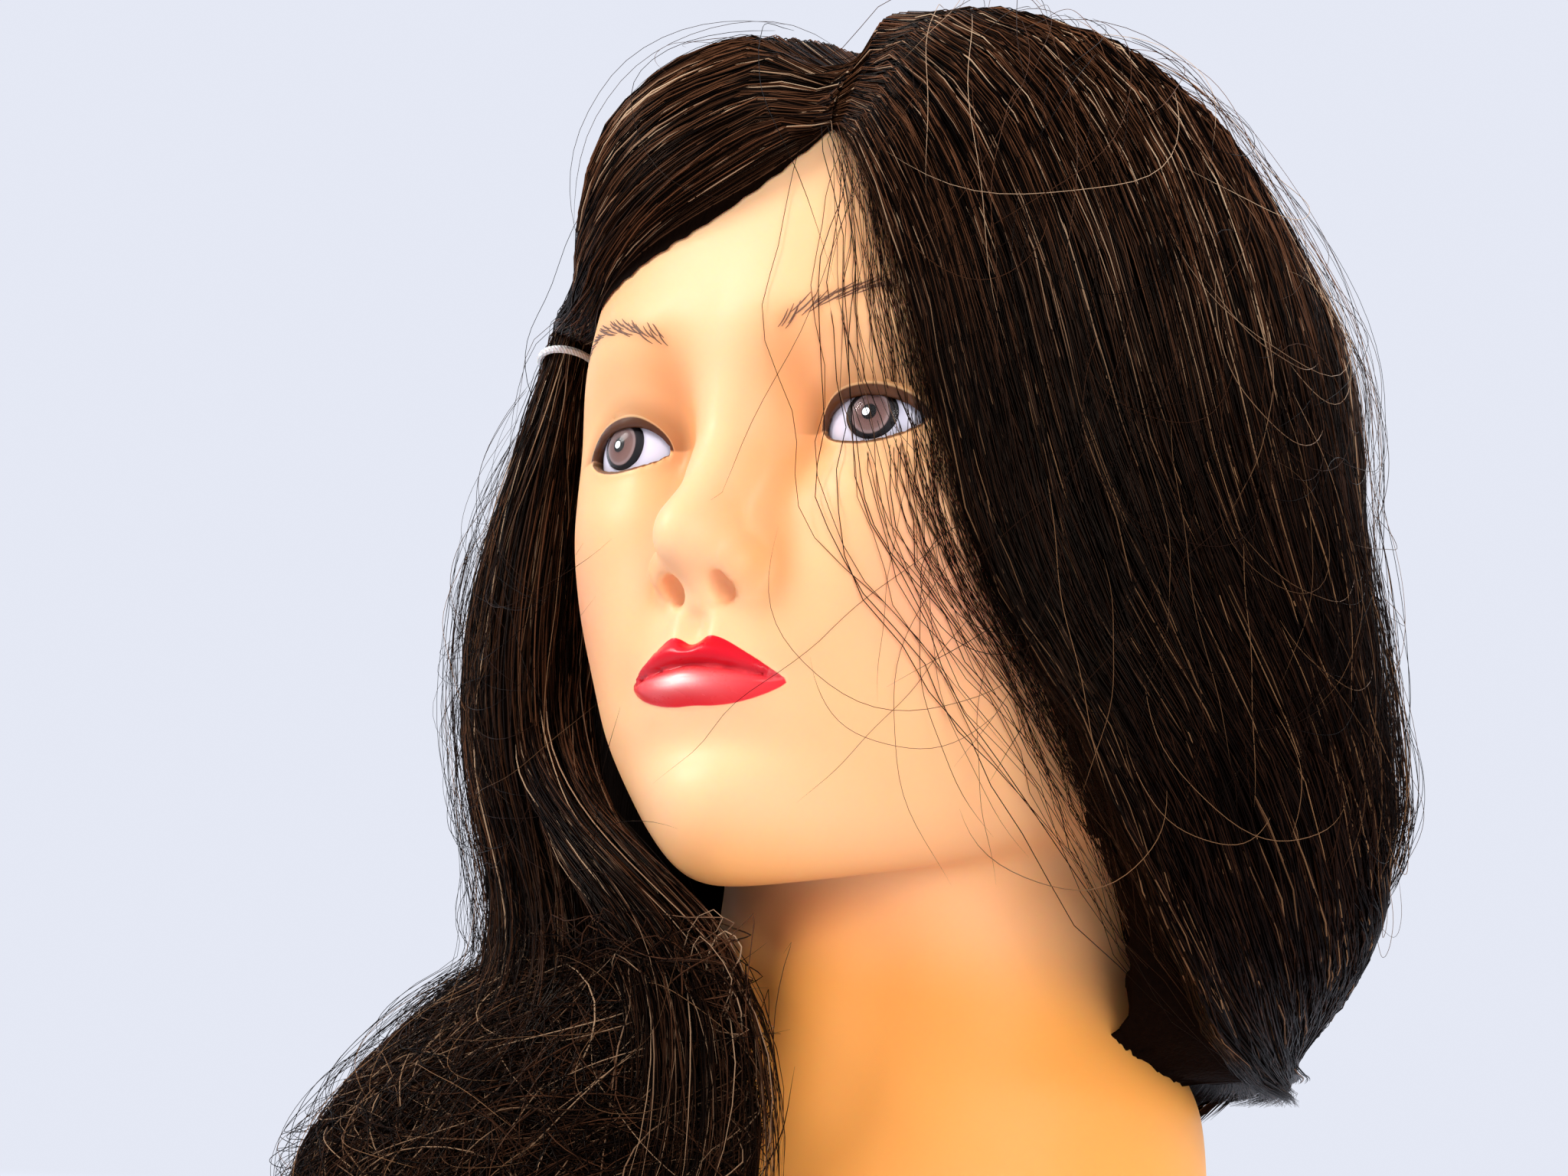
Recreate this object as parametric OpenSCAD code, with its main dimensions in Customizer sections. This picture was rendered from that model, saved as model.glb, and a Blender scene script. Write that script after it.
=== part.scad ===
// Mannequin training head: a hollow vinyl head with inset eyes, rooted hair and a clamp socket in
// the neck. The origin is the centre of the neck's flat base, on the socket's axis. The face looks
// along -Y, the head's own left is +X and up is +Z. Lengths are in millimetres.

/* [Head] */
// Height of the bare scalp above the neck's base
head_h = 294; // [270:1:310]
// Breadth of the head above the ears
head_w = 152; // [140:1:160]
// Length of the head from the forehead to the back
head_l = 190; // [175:1:200]
// Thickness of the vinyl skin
skin_t = 4; // [3:0.5:5]
// Radius of the neck's round foot
foot_r = 70; // [66:1:74]

/* [Face] */
// Height of the eyes' centres
eye_z = 184; // [180:1:190]
// Distance of each eye's centre from the middle of the face
eye_x = 32; // [30:0.5:34]
// Radius of each eye's ball
eye_r = 13; // [12:0.5:14]
// Radius of each iris
iris_r = 6.6; // [6:0.1:7]
// Half the height of the opening between the lids
lid_gap = 5.6; // [4:0.2:7]
// Half the length of the opening between the lids
lid_len = 13.6; // [12:0.2:15]
// How far the tip of the nose stands out of the face
nose_out = 21; // [16:1:24]

/* [Neck socket] */
// Radius of the bore that takes the clamp's post
bore_r = 11.5; // [9:0.5:13]
// Depth of the bore
bore_l = 75; // [50:1:85]
// Wall of the socket's tube
socket_wall = 3; // [2:0.5:4]
// Radius of the socket's flange
flange_r = 22; // [20:1:24]
// Thickness of the base plate
plate_t = 6; // [5:0.5:8]
// Distance of the screws from the middle of the base
screw_at = 46; // [42:1:50]

/* [Hair] */
// How far the hair clears the skin
hair_gap = 1; // [0.8:0.1:1.5]
// Thickness of the hair on the scalp beside the parting
scalp_hair = 9; // [6:1:12]
// Height of the loose pile of ends in front of the right shoulder
pile_h = 72; // [60:1:78]
// Thickness of the band that ties the lock in front of the right ear
tie_t = 2; // [1.5:0.1:3]

/* [Hidden] */

// the head is drawn at these sizes and stretched to the driving ones
drawn_h = 294;
drawn_w = 152;
drawn_l = 190;
sx = head_w / drawn_w;
sy = head_l / drawn_l;
sz = head_h / drawn_h;

// where the cranium's dome starts, and how round it is
dome_z = 200;
dome_power = 2.3;
cheek_power = 2.25;
clear = 0.3;
// the plate sits up inside the foot, where the neck is already narrower
plate_clear = 2.6;

// half sizes of the head below the dome: [height, forward of the axis, behind it, to each side]
body = [
    [0, foot_r, foot_r, foot_r],
    [10, foot_r - 3, foot_r - 3, foot_r - 1.5],
    [30, 58, 64, 68],
    [45, 54, 62, 66.5],
    [60, 52, 59, 60],
    [78, 52, 60, 55],
    [84, 66, 62, 55],
    [89, 84, 64, 57],
    [95, 93, 66, 59],
    [104, 96, 70, 61.5],
    [120, 96, 77, 65],
    [145, 97, 85, 68.5],
    [170, 99, 89, 71.5],
    [185, 100, 90.5, 74],
    [200, 101.5, 91, 76],
    [230, 101.5, 91, 76]];

// power of the superellipse that shapes the front half: lower is more pointed
front_power = [[0, 2], [60, 2], [84, 1.75], [100, 1.8], [125, 2.05], [160, 2.2], [200, 2.3]];

// the nose: [height, share of nose_out, half width]
nose = [
    [139, 0, 10],
    [143, 0.28, 11],
    [147, 0.72, 11],
    [152, 0.98, 10],
    [156, 0.95, 9],
    [166, 0.66, 8],
    [178, 0.3, 7.5],
    [188, 0.08, 8],
    [198, 0.02, 10],
    [210, 0, 12]];

function column(table, at) = [for (row = table) [row[0], row[at]]];
body_f = column(body, 1);
body_b = column(body, 2);
body_s = column(body, 3);
nose_share = column(nose, 1);
nose_half = column(nose, 2);

// a table read with its corners rounded over a distance of d each way
function soft(table, v, d) =
    (lookup(v - d, table) + 2 * lookup(v, table) + lookup(v + d, table)) / 4;
function hill(v, s) = exp(-v * v / (2 * s * s));
function dome(z) = z < dome_z ? 1
    : pow(max(0, 1 - pow((z - dome_z) / (drawn_h - dome_z), dome_power)), 0.5);

// forward and sideways half sizes at a drawn height
function reach(table, z) = soft(table, z, z > 12 && z < 190 ? 3 : 0) * dome(z);

// what the features add to the face, seen from the front at (x, z)
function nose_at(x, z) = nose_out * soft(nose_share, z, 1.5)
    * exp(-pow(abs(x) / soft(nose_half, z, 2), 2));
function wings_at(x, z) = 6.5 * hill(abs(x) - 12.5, 4) * hill(z - 148, 4.5);
function lips_at(x, z) = 5 * hill(x, 12) * (hill(z - 131, 3.4) + hill(z - 120, 3.6))
    - 1.5 * hill(x, 16) * hill(z - 125.5, 1.6);
function chin_at(x, z) = 3.5 * hill(x, 13) * hill(z - 99, 8) - 3 * hill(x, 14) * hill(z - 111, 4);
function socket_at(x, z) = 8 * hill(abs(x) - 29, 13) * hill(z - 189, 8.5);
function cheek_at(x, z) = 2.5 * hill(abs(x) - 42, 14) * hill(z - 160, 14)
    + 2 * hill(abs(x) - 26, 18) * hill(z - 208, 7);
function ear_at(a, z) = 9 * hill(abs(a) - 94, 7) * hill(z - 178, 15);

// the eye's ball with its lid over it, as a distance forward of the axis
eye_f = 76.5;
lid_t = 1.6;
function lid_at(x, z) = let (d = pow(eye_r + lid_t, 2) - pow(abs(x) - eye_x, 2) - pow(z - eye_z, 2))
    d > 0 ? eye_f + sqrt(d) : 0;

// one point of the plain head: a is the angle from the face towards the head's left
function plain(a, z) =
    let (s = reach(body_s, z), p = cos(a) > 0 ? soft(front_power, z, 6) : cheek_power,
        f = cos(a) > 0 ? reach(body_f, z) : reach(body_b, z),
        k = pow(pow(abs(sin(a)) / s, p) + pow(abs(cos(a)) / f, p), -1 / p))
    [k * sin(a), k * cos(a)];

// the finished outside: [x, forward, z] at drawn size
function outside(a, z) =
    let (q = plain(a, z), x = q[0], front = max(0, cos(a)),
        on = front * (z > 86 ? 1 : 0), ear = ear_at(a, z),
        f = q[1] + on * (nose_at(x, z) + wings_at(x, z) + lips_at(x, z) + chin_at(x, z)
            + cheek_at(x, z) - socket_at(x, z)))
    [x + ear * sin(a), (on > 0 ? max(f, lid_at(x, z)) : f) + ear * cos(a), z];

// the inside, d deep in the skin, with room for the eye sockets
function inside(a, z, d) =
    let (q = plain(a, z), r = norm(q), k = max(0.02, (r - d) / r),
        pit = z > 86 ? max(0, cos(a)) * (socket_at(q[0], z) + 0.5) : 0)
    [q[0] * k, q[1] * k - pit, z];

function placed(p) = [p[0] * sx, -p[1] * sy, p[2] * sz];

// heights and angles of the drawn grid, closer together on the face
rows = concat([for (z = [0:10:70]) z], [for (z = [77:2.5:97]) z], [for (z = [100:3:199]) z],
    [for (t = [0:11]) 205 + 88.6 * sin(t * 90 / 11)]);
cols = concat([for (a = [-60:6:-30]) a], [for (a = [-25:2.5:25]) a], [for (a = [30:6:60]) a],
    [for (a = [72:12:288]) a]);
in_rows = [for (t = [0:28]) t < 20 ? 10 * t + 6 : 196 + 92 * sin((t - 19) * 10)];
in_cols = [for (a = [-60:10:299]) a];

// a closed solid through rings of points that all have the same number
module rings(grid) {
    n = len(grid[0]);
    m = len(grid);
    walls = [for (i = [0:m - 2], j = [0:n - 1])
        let (a = i * n + j, b = i * n + (j + 1) % n)
        each [[a, a + n, b + n], [a, b + n, b]]];
    bottom = [for (j = [0:n - 1]) j];
    top = [for (j = [n - 1:-1:0]) (m - 1) * n + j];
    polyhedron([for (ring = grid) each ring], concat(walls, [bottom, top]), convexity = 6);
}

// the solid inside of the skin, d deep, from height z0 up
module hollow(d, z0) {
    list = concat([z0], [for (z = in_rows) if (z > z0 + 2) z * (drawn_h - d) / drawn_h]);
    rings([for (z = list) [for (a = in_cols) placed(inside(a, z, d))]]);
}

// an eye's own frame: the ball's centre at the origin, looking along -Y
module at_eye(side) {
    translate([side * eye_x * sx, -eye_f * sy, eye_z * sz])
        children();
}

// the almond opening between the lids, along Y
module lid_opening() {
    r = (pow(lid_gap, 2) + pow(lid_len, 2)) / (2 * lid_gap);
    intersection_for (s = [-1, 1])
        translate([0, 0, s * (r - lid_gap)])
            rotate([90, 0, 0])
                cylinder(r = r, h = 30, $fn = 64);
}

module vinyl_skin() {
    color("bisque")
        difference() {
            rings([for (z = rows) [for (a = cols) placed(outside(a, z))]]);
            hollow(skin_t, -1);
            for (side = [-1, 1])
                at_eye(side) {
                    sphere(r = eye_r + clear, $fn = 32);
                    lid_opening();
                }
        }
}

module foam_core() {
    color("moccasin")
        difference() {
            hollow(skin_t + clear, plate_t + clear);
            translate([0, 0, -1])
                cylinder(r = bore_r + socket_wall + clear, h = bore_l + socket_wall + clear + 1, $fn = 64);
            for (k = [0:3])
                rotate([0, 0, 45 + 90 * k])
                    translate([screw_at, 0, 0])
                        cylinder(r = 2.1, h = 22, $fn = 24);
            for (side = [-1, 1])
                at_eye(side)
                    sphere(r = eye_r + 2 * clear, $fn = 32);
        }
}

module base_plate() {
    color("dimgray")
        difference() {
            cylinder(r = foot_r - skin_t - plate_clear, h = plate_t, $fn = 96);
            translate([0, 0, -1])
                cylinder(r = bore_r + socket_wall + 0.2, h = plate_t + 2, $fn = 64);
            translate([0, 0, -0.01])
                cylinder(r = flange_r + 0.2, h = 3.2, $fn = 64);
            for (k = [0:3])
                rotate([0, 0, 45 + 90 * k])
                    translate([screw_at, 0, 0]) {
                        translate([0, 0, -1])
                            cylinder(r = 2.3, h = plate_t + 2, $fn = 24);
                        translate([0, 0, -0.01])
                            cylinder(r = 4.6, h = 2.8, $fn = 32);
                    }
        }
}

module clamp_socket() {
    color("gray")
        difference() {
            union() {
                cylinder(r = flange_r, h = 3, $fn = 64);
                cylinder(r = bore_r + socket_wall, h = bore_l + socket_wall, $fn = 64);
            }
            translate([0, 0, -1])
                cylinder(r = bore_r, h = bore_l + 1, $fn = 64);
        }
}

module base_screws() {
    color("silver")
        for (k = [0:3])
            rotate([0, 0, 45 + 90 * k])
                translate([screw_at, 0, 0.4])
                    difference() {
                        union() {
                            cylinder(r = 4.2, h = 2.2, $fn = 32);
                            cylinder(r = 2, h = 20, $fn = 24);
                        }
                        for (turn = [0, 90])
                            rotate([0, 0, turn])
                                translate([-2.4, -0.5, -1])
                                    cube([4.8, 1, 2.2]);
                    }
}

// turns a flat outline round the way the eye looks; the outline's Y is the distance forward
module turned_at_eye(side) {
    at_eye(side)
        rotate([90, 0, 0])
            rotate_extrude($fn = 64)
                children();
}

// the white of the eye: the front of a hollow ball with a flat seat for the iris
shell_t = 3.4;
seat_z = eye_r - 2.2;
iris_t = 0.6;
module eye_shell(side) {
    color("lavender")
        turned_at_eye(side)
            difference() {
                intersection() {
                    circle(r = eye_r, $fn = 96);
                    translate([0, -2])
                        square([2 * eye_r, 2 * eye_r]);
                }
                circle(r = eye_r - shell_t, $fn = 96);
                translate([-eye_r, seat_z])
                    square([eye_r + iris_r + 0.1, eye_r]);
            }
}

module eye_iris(side) {
    color("rosybrown")
        turned_at_eye(side)
            translate([0, seat_z])
                square([iris_r, iris_t]);
}

module eye_cornea(side) {
    color("azure", 0.6)
        turned_at_eye(side)
            intersection() {
                circle(r = eye_r + 0.1, $fn = 96);
                translate([0, seat_z + iris_t])
                    square([iris_r, eye_r]);
            }
}

// radius of the hair's outside below the dome, at [height, then the angles in hair_at]
hair_at = [-180, -125, -90, -54, 0, 54, 90, 125, 180];
hair_r = [
    [4, 82, 96, 108, 110, 66, 70, 72, 72, 82],
    [30, 88, 104, 112, 112, 66, 70, 72, 75, 88],
    [50, 92, 106, 112, 112, 68, 73, 77, 81, 92],
    [60, 96, 108, 112, 112, 70, 80, 86, 89, 96],
    [75, 101, 110, 111, 111, 77, 89, 98, 101, 101],
    [90, 106, 112, 110, 110, 86, 95, 105, 109, 106],
    [120, 112, 112, 107, 106, 106, 97, 108, 114, 112],
    [150, 114, 110, 104, 102, 108, 96, 106, 110, 114],
    [185, 113, 106, 98, 98, 110, 96, 99, 105, 113],
    [222, 109, 102, 91, 94, 111, 96, 91, 101, 109],
    [300, 109, 102, 91, 94, 111, 96, 91, 101, 109]];
hair_thick = 28;
loose_z = 95;

function skin_reach(a, z) = let (p = outside(a, z)) norm([p[0], p[1]]);
function around(a) = a > 180 ? a - 360 : a;
function hair_reach(a, z) =
    let (ring = [for (i = [0:8]) [hair_at[i], lookup(z, column(hair_r, i + 1))]], t = around(a))
    (lookup(t - 12, ring) + 2 * lookup(t, ring) + lookup(t + 12, ring)) / 4;

// thickness of the hair over the skin, which thins out on the dome
function over_skin(a, z) =
    let (t = max(4, hair_reach(a, min(z, 222)) - skin_reach(a, min(z, 222))),
        k = min(1, max(0, (z - 215) / 45)))
    t + (scalp_hair - t) * k * k * (3 - 2 * k) + puff(around(a), z);
// the hair stands up more over the right temple and the left side of the crown
function puff(a, z) = groove(a, z) + 15 * hill(a + 32, 24) * hill(z - 262, 22) + 10 * hill(a - 78, 42) * hill(z - 266, 22)
    + 4 * hill(a - 35, 30) * hill(z - 282, 14);
function groove(a, z) = z < 240 ? 0 : -2.5 * hill(a - 1, 9) * (z > 256 ? 1 : (z - 240) / 16);
function off_skin(a, z) = hair_gap + ear_room(a, z)
    + (z > loose_z ? 0 : max(0, over_skin(a, z) - hair_thick - hair_gap));

// a point at a distance d over the skin, square to it on the dome
function over(a, z, d) =
    let (p = outside(a, z), v = [p[0], p[1], z - min(z, 190)])
    placed(p + d * v / norm(v));
function ear_room(a, z) = 4 * hill(abs(around(a)) - 94, 15) * hill(z - 178, 26);

// a closed solid between two grids of the same size
module slab(lower, upper) {
    m = len(lower);
    n = len(lower[0]);
    k = m * n;
    points = concat([for (row = lower) each row], [for (row = upper) each row]);
    rim = concat([for (j = [0:n - 2]) j], [for (i = [0:m - 2]) i * n + n - 1],
        [for (j = [n - 1:-1:1]) (m - 1) * n + j], [for (i = [m - 1:-1:1]) i * n]);
    faces = concat(
        [for (i = [0:m - 2], j = [0:n - 2]) let (a = i * n + j)
            each [[a, a + 1, a + n + 1], [a, a + n + 1, a + n]]],
        [for (i = [0:m - 2], j = [0:n - 2]) let (a = k + i * n + j)
            each [[a, a + n + 1, a + 1], [a, a + n, a + n + 1]]],
        [for (q = [0:len(rim) - 1]) let (a = rim[q], b = rim[(q + 1) % len(rim)])
            each [[b, a, a + k], [b, a + k, b + k]]]);
    polyhedron(points, faces, convexity = 6);
}

// hair over the skin from height z0 to z1, between two edges that are tables of angle by height;
// lift raises the lower border at each angle, and turn is 1 where the rows crowd towards the top
module hair_patch(z0, z1, from, to, nz, na, lift = level, turn = 0) {
    spots = [for (i = [0:nz]) [for (j = [0:na])
        let (v = turn > 0 ? sin(90 * i / nz) : i / nz, z = z0 + (z1 - z0) * v,
            a = lookup(z, from) + (lookup(z, to) - lookup(z, from)) * j / na)
        [a, z + lookup(a, lift) * (1 - v)]]];
    slab([for (row = spots) [for (s = row) over(s[0], s[1], off_skin(s[0], s[1]))]],
        [for (row = spots) [for (s = row) over(s[0], s[1], over_skin(s[0], s[1]))]]);
}

function always(a) = [[0, a], [300, a]];
level = [[-180, 0], [300, 0]];
top_z = 293.98;
crown_z = 256;
below_crown = crown_z - 0.4;
seam = 0.3;

module hair_crown_left() {
    color([0.16, 0.1, 0.07])
        hair_patch(crown_z, top_z, always(1), always(179), 9, 22, level, 1);
}

module hair_crown_right() {
    color([0.19, 0.12, 0.08])
        hair_patch(crown_z, top_z, always(-179), always(-1), 9, 22, level, 1);
}

// the fringe sweeps from the parting down to the right temple
fringe_z = 219;
fringe_edge = [[fringe_z, -26], [222, -18], [225, -13], [229, -6], [234, -1], [240, 4], [247, 8], [256, 12]];
fringe_lift = [[-90, 9], [-48, 9], [-38, 0], [20, 0]];
module hair_fringe_right() {
    color([0.21, 0.13, 0.08])
        hair_patch(fringe_z, below_crown, always(-86), fringe_edge, 12, 20, fringe_lift);
}

// the front of the left curtain leaves the forehead and cheek bare
curtain_edge = [[100, 60], [110, 57], [128, 50], [155, 38], [184, 29], [215, 24.5], [235, 19.5], [256, 13]];
module hair_front_left() {
    color([0.18, 0.11, 0.07])
        hair_patch(100, below_crown, curtain_edge, always(64), 14, 8);
}

module hair_side_left() {
    color([0.14, 0.09, 0.06])
        hair_patch(44, below_crown, [[44, 84], [75, 70], [100, 64 + seam], [300, 64 + seam]],
            always(118), 16, 8, [[84, 0], [118, 12]]);
}

module hair_side_right() {
    color([0.15, 0.09, 0.06])
        hair_patch(74.2, below_crown, always(-118), [[60, -78], [226, -86 - seam], [300, -86 - seam]],
            16, 6);
}

module hair_back() {
    color([0.13, 0.08, 0.05])
        hair_patch(96, below_crown, always(118 + seam), always(242 - seam), 14, 16);
}

// the long back hair is swept behind the neck towards the right
module hair_nape_sweep() {
    color([0.17, 0.1, 0.07])
        hair_patch(1, 95.6, always(118 + seam), always(242 - seam), 8, 16,
            [[118, 55], [150, 50], [168, 34], [200, 8], [242, 0]]);
}

// distance of the tie from the axis
tie_r = 101.5;
// angle and height of the tie
tie_a = -60;
tie_z = 222.5;

// the tied lock in front of the right ear:
// [height, angle, distance from the axis, half its width, half its thickness]
lock = [
    [73.5, -59.5, 94, 22.5, 12],
    [84, -60, 95.5, 22, 12],
    [105, -61, 101, 21, 12.5],
    [130, -62, 106, 21, 13],
    [155, -63, 106, 20, 12],
    [180, -63.5, 105, 18, 11],
    [205, -61.5, 103.5, 15, 8.5],
    [218, tie_a, tie_r, 12.5, 6],
    [226, tie_a, tie_r, 12.5, 6],
    [227.4, tie_a, tie_r + 0.5, 14, 7]];
function across(a, r, z, u, w) = [r * sin(a) * sx, -r * cos(a) * sy, z * sz]
    + u * [cos(a), sin(a), 0] + w * [sin(a), -cos(a), 0];
module hair_lock_right() {
    color([0.2, 0.12, 0.08])
        rings([for (s = lock) [for (t = [340:-20:0])
            across(s[1], s[2], s[0], s[3] * cos(t), s[4] * sin(t))]]);
}

// an elastic band round the lock, one polyhedron whose rings close on themselves
tie_path = [for (t = [0:12:348]) [(12.5 + tie_t / 2 + 0.2) * cos(t), (6 + tie_t / 2 + 0.2) * sin(t)]];
module hair_tie() {
    sides = 8;
    n = len(tie_path);
    points = [for (p = tie_path) let (out = p / norm([p[0], p[1]])) for (s = [0:sides - 1])
        let (w = s * 360 / sides, q = p + out * cos(w) * tie_t / 2)
            across(tie_a, tie_r, tie_z, q[0], q[1]) + [0, 0, sin(w) * tie_t / 2]];
    faces = [for (i = [0:n - 1], s = [0:sides - 1])
        let (a = i * sides + s, b = i * sides + (s + 1) % sides,
            c = ((i + 1) % n) * sides + (s + 1) % sides, d = ((i + 1) % n) * sides + s)
        each [[c, b, a], [d, c, a]]];
    color("white")
        polyhedron(points, faces, convexity = 6);
}

// the loose ends lie in a pile round the front of the neck's right side
pile_from = -117.5;
pile_to = 8;
pile_in = foot_r + 2.5;
pile_reach = [[-118, 122], [-100, 136], [-80, 147], [-62, 153], [-45, 147], [-25, 117], [-8, 97], [8, 85]];
pile_top = [[-118, 0.9], [-90, 0.97], [-62, 1], [-42, 0.97], [-22, 0.9], [-8, 0.8], [8, 0.6]];
// the pile's height at shares of the way out from the neck
pile_form = [[0, 0.75], [0.12, 0.93], [0.33, 1], [0.5, 0.9], [0.64, 0.75], [0.8, 0.56], [0.92, 0.32], [1, 0.06]];
module hair_pile_right() {
    color([0.12, 0.08, 0.05])
        rings([for (i = [0:18])
            let (a = pile_to + (pile_from - pile_to) * i / 18, r1 = lookup(a, pile_reach),
                h = pile_h * lookup(a, pile_top))
            concat([for (r = [pile_in, r1]) [r * sin(a), -r * cos(a), 0]],
                [for (t = [10:-1:0]) let (u = t / 10, r = pile_in + (r1 - pile_in) * u)
                    [r * sin(a), -r * cos(a), h * lookup(u, pile_form)]])]);
}

vinyl_skin();
foam_core();
base_plate();
clamp_socket();
base_screws();
eye_shell(1);  // eye_shell_left
eye_shell(-1);  // eye_shell_right
eye_iris(1);  // eye_iris_left
eye_iris(-1);  // eye_iris_right
eye_cornea(1);  // eye_cornea_left
eye_cornea(-1);  // eye_cornea_right
hair_crown_left();
hair_crown_right();
hair_fringe_right();
hair_front_left();
hair_side_left();
hair_side_right();
hair_lock_right();
hair_back();
hair_nape_sweep();
hair_pile_right();
hair_tie();
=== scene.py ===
"""Mannequin training head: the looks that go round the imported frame. Lengths are in metres unless a
name ends in _mm. The head faces -Y, its own left is +X, and +Z is up."""
import math

import bpy
import numpy as np
from mathutils import Matrix, Vector
from mathutils.bvhtree import BVHTree


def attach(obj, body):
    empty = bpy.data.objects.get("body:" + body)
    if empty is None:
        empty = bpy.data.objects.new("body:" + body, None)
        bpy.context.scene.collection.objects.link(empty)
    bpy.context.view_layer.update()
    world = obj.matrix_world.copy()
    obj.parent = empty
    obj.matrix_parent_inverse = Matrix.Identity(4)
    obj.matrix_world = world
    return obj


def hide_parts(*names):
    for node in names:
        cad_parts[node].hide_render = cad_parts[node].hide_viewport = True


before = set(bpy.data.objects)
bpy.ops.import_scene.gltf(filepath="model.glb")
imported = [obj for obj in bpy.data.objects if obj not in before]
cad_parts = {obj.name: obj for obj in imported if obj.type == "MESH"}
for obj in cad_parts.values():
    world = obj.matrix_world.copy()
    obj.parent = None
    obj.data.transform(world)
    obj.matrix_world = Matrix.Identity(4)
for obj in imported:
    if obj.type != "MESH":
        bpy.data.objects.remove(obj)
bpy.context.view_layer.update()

MM = 0.001

# ---------------------------------------------------------------------------------------------
# The head's shape, in millimetres. F is the distance forward of the neck's axis, which is -Y.
# ---------------------------------------------------------------------------------------------

# height, reach forward, reach back, reach to each side, power of the front's superellipse
HEAD_ROWS = [
    (70, 91, 40, 46, 1.5), (86, 93, 50, 50, 1.5), (95, 95.5, 57, 54.5, 1.56), (104, 97, 62, 60, 1.72),
    (120, 97, 74, 66, 2.1), (145, 98, 85, 71.5, 2.36), (170, 99.5, 89.5, 74.5, 2.45),
    (185, 101, 91, 76, 2.45), (200, 102.5, 91, 77, 2.42), (300, 102.5, 91, 77, 2.35)]
NECK_ROWS = [
    (-10, 71, 71, 71), (0, 70, 70, 70), (9, 66, 67, 68), (20, 61, 65.5, 67.5), (35, 56, 63, 67),
    (46, 53.5, 61, 65.5), (58, 51, 58, 58), (75, 50, 57, 52), (100, 50, 60, 51), (140, 48, 66, 50)]
DOME_Z, DOME_TOP = 200.0, 294.0
DOME_POWER = 2.2
CHIN_Z, JAW_RISE = 83.2, 0.27

EYE_X, EYE_F, EYE_Z, EYE_R = 31.3, 75.6, 183.6, 16.2
CANTHUS_IN, CANTHUS_OUT = 21.1, 45.0
CANTHUS_Z = 181.4
MOUTH_HALF = 20.6


def smooth_column(rows, column, reach):
    """A column of a table on a fine ladder of heights, with its corners rounded off."""
    heights = np.arange(rows[0][0], rows[-1][0] + 0.25, 0.5)
    values = np.interp(heights, [r[0] for r in rows], [r[column] for r in rows])
    steps = np.arange(-3 * reach, 3 * reach + 0.25, 0.5)
    kernel = np.exp(-0.5 * (steps / reach) ** 2)
    padded = np.pad(values, len(steps) // 2, mode="edge")
    return heights, np.convolve(padded, kernel / kernel.sum(), mode="valid")[:len(heights)]


HEAD_COLUMNS = [smooth_column(HEAD_ROWS, c, 5.0) for c in (1, 2, 3, 4)]
NECK_COLUMNS = [smooth_column(NECK_ROWS, c, 3.5) for c in (1, 2, 3)]


def hill(v, s):
    return np.exp(-0.5 * (v / s) ** 2)


def ramp(v, low, high):
    t = np.clip((v - low) / (high - low), 0.0, 1.0)
    return t * t * (3.0 - 2.0 * t)


def blend_union(a, b, k):
    h = np.clip(0.5 + 0.5 * (b - a) / k, 0.0, 1.0)
    return b * (1.0 - h) + a * h - k * h * (1.0 - h)


def blend_cut(a, b, k):
    """a with b taken out of it, over a rounded edge k wide."""
    return -blend_union(-a, b, k)


def ball(x, f, z, centre, radii):
    """Distance to an ellipsoid, right near its surface."""
    dx, df, dz = x - centre[0], f - centre[1], z - centre[2]
    rx, rf, rz = radii
    k0 = np.sqrt((dx / rx) ** 2 + (df / rf) ** 2 + (dz / rz) ** 2)
    k1 = np.sqrt((dx / rx ** 2) ** 2 + (df / rf ** 2) ** 2 + (dz / rz ** 2) ** 2)
    return k0 * (k0 - 1.0) / np.maximum(k1, 1e-6)


def rod(x, f, z, a, b, ra, rb):
    """Distance to a rod from a to b whose radius runs from ra to rb."""
    ab = np.array(b, float) - np.array(a, float)
    t = ((x - a[0]) * ab[0] + (f - a[1]) * ab[1] + (z - a[2]) * ab[2]) / float(ab @ ab)
    t = np.clip(t, 0.0, 1.0)
    dx, df, dz = x - a[0] - t * ab[0], f - a[1] - t * ab[1], z - a[2] - t * ab[2]
    return np.sqrt(dx * dx + df * df + dz * dz) - (ra + (rb - ra) * t)


def mouth_curves(x):
    """Heights of the mouth's line and of the upper and lower borders of the lips."""
    s = np.clip(np.abs(x) / MOUTH_HALF, 0.0, 1.0)
    line = 128.6 - 2.9 * s ** 1.8 + 0.3 * hill(x, 3.0)
    bow = 6.7 * (1.0 - s ** 1.75) - 2.6 * hill(x, 2.3) + 0.5 * hill(np.abs(x) - 6.4, 3.0)
    low = 8.6 * (1.0 - s ** 2.1) ** 0.8
    return line, line + np.maximum(bow, 0.0), line - low


def lips_out(x, z):
    line, top, low = mouth_curves(x)
    s = np.clip(np.abs(x) / MOUTH_HALF, 0.0, 1.0)
    size = (1.0 - s ** 2) ** 0.55
    up = np.clip((z - line) / np.maximum(top - line, 0.3), 0.0, 1.0)
    down = np.clip((line - z) / np.maximum(line - low, 0.3), 0.0, 1.0)
    upper = 2.9 * np.sin(np.pi * up ** 0.8)
    lower = 3.6 * np.sin(np.pi * down ** 0.85)
    rim = 0.35 * hill(z - top - 0.2, 0.7)
    seam = 0.2 * hill(z - line, 1.4)
    return size * (upper + lower + rim - seam)


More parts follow.
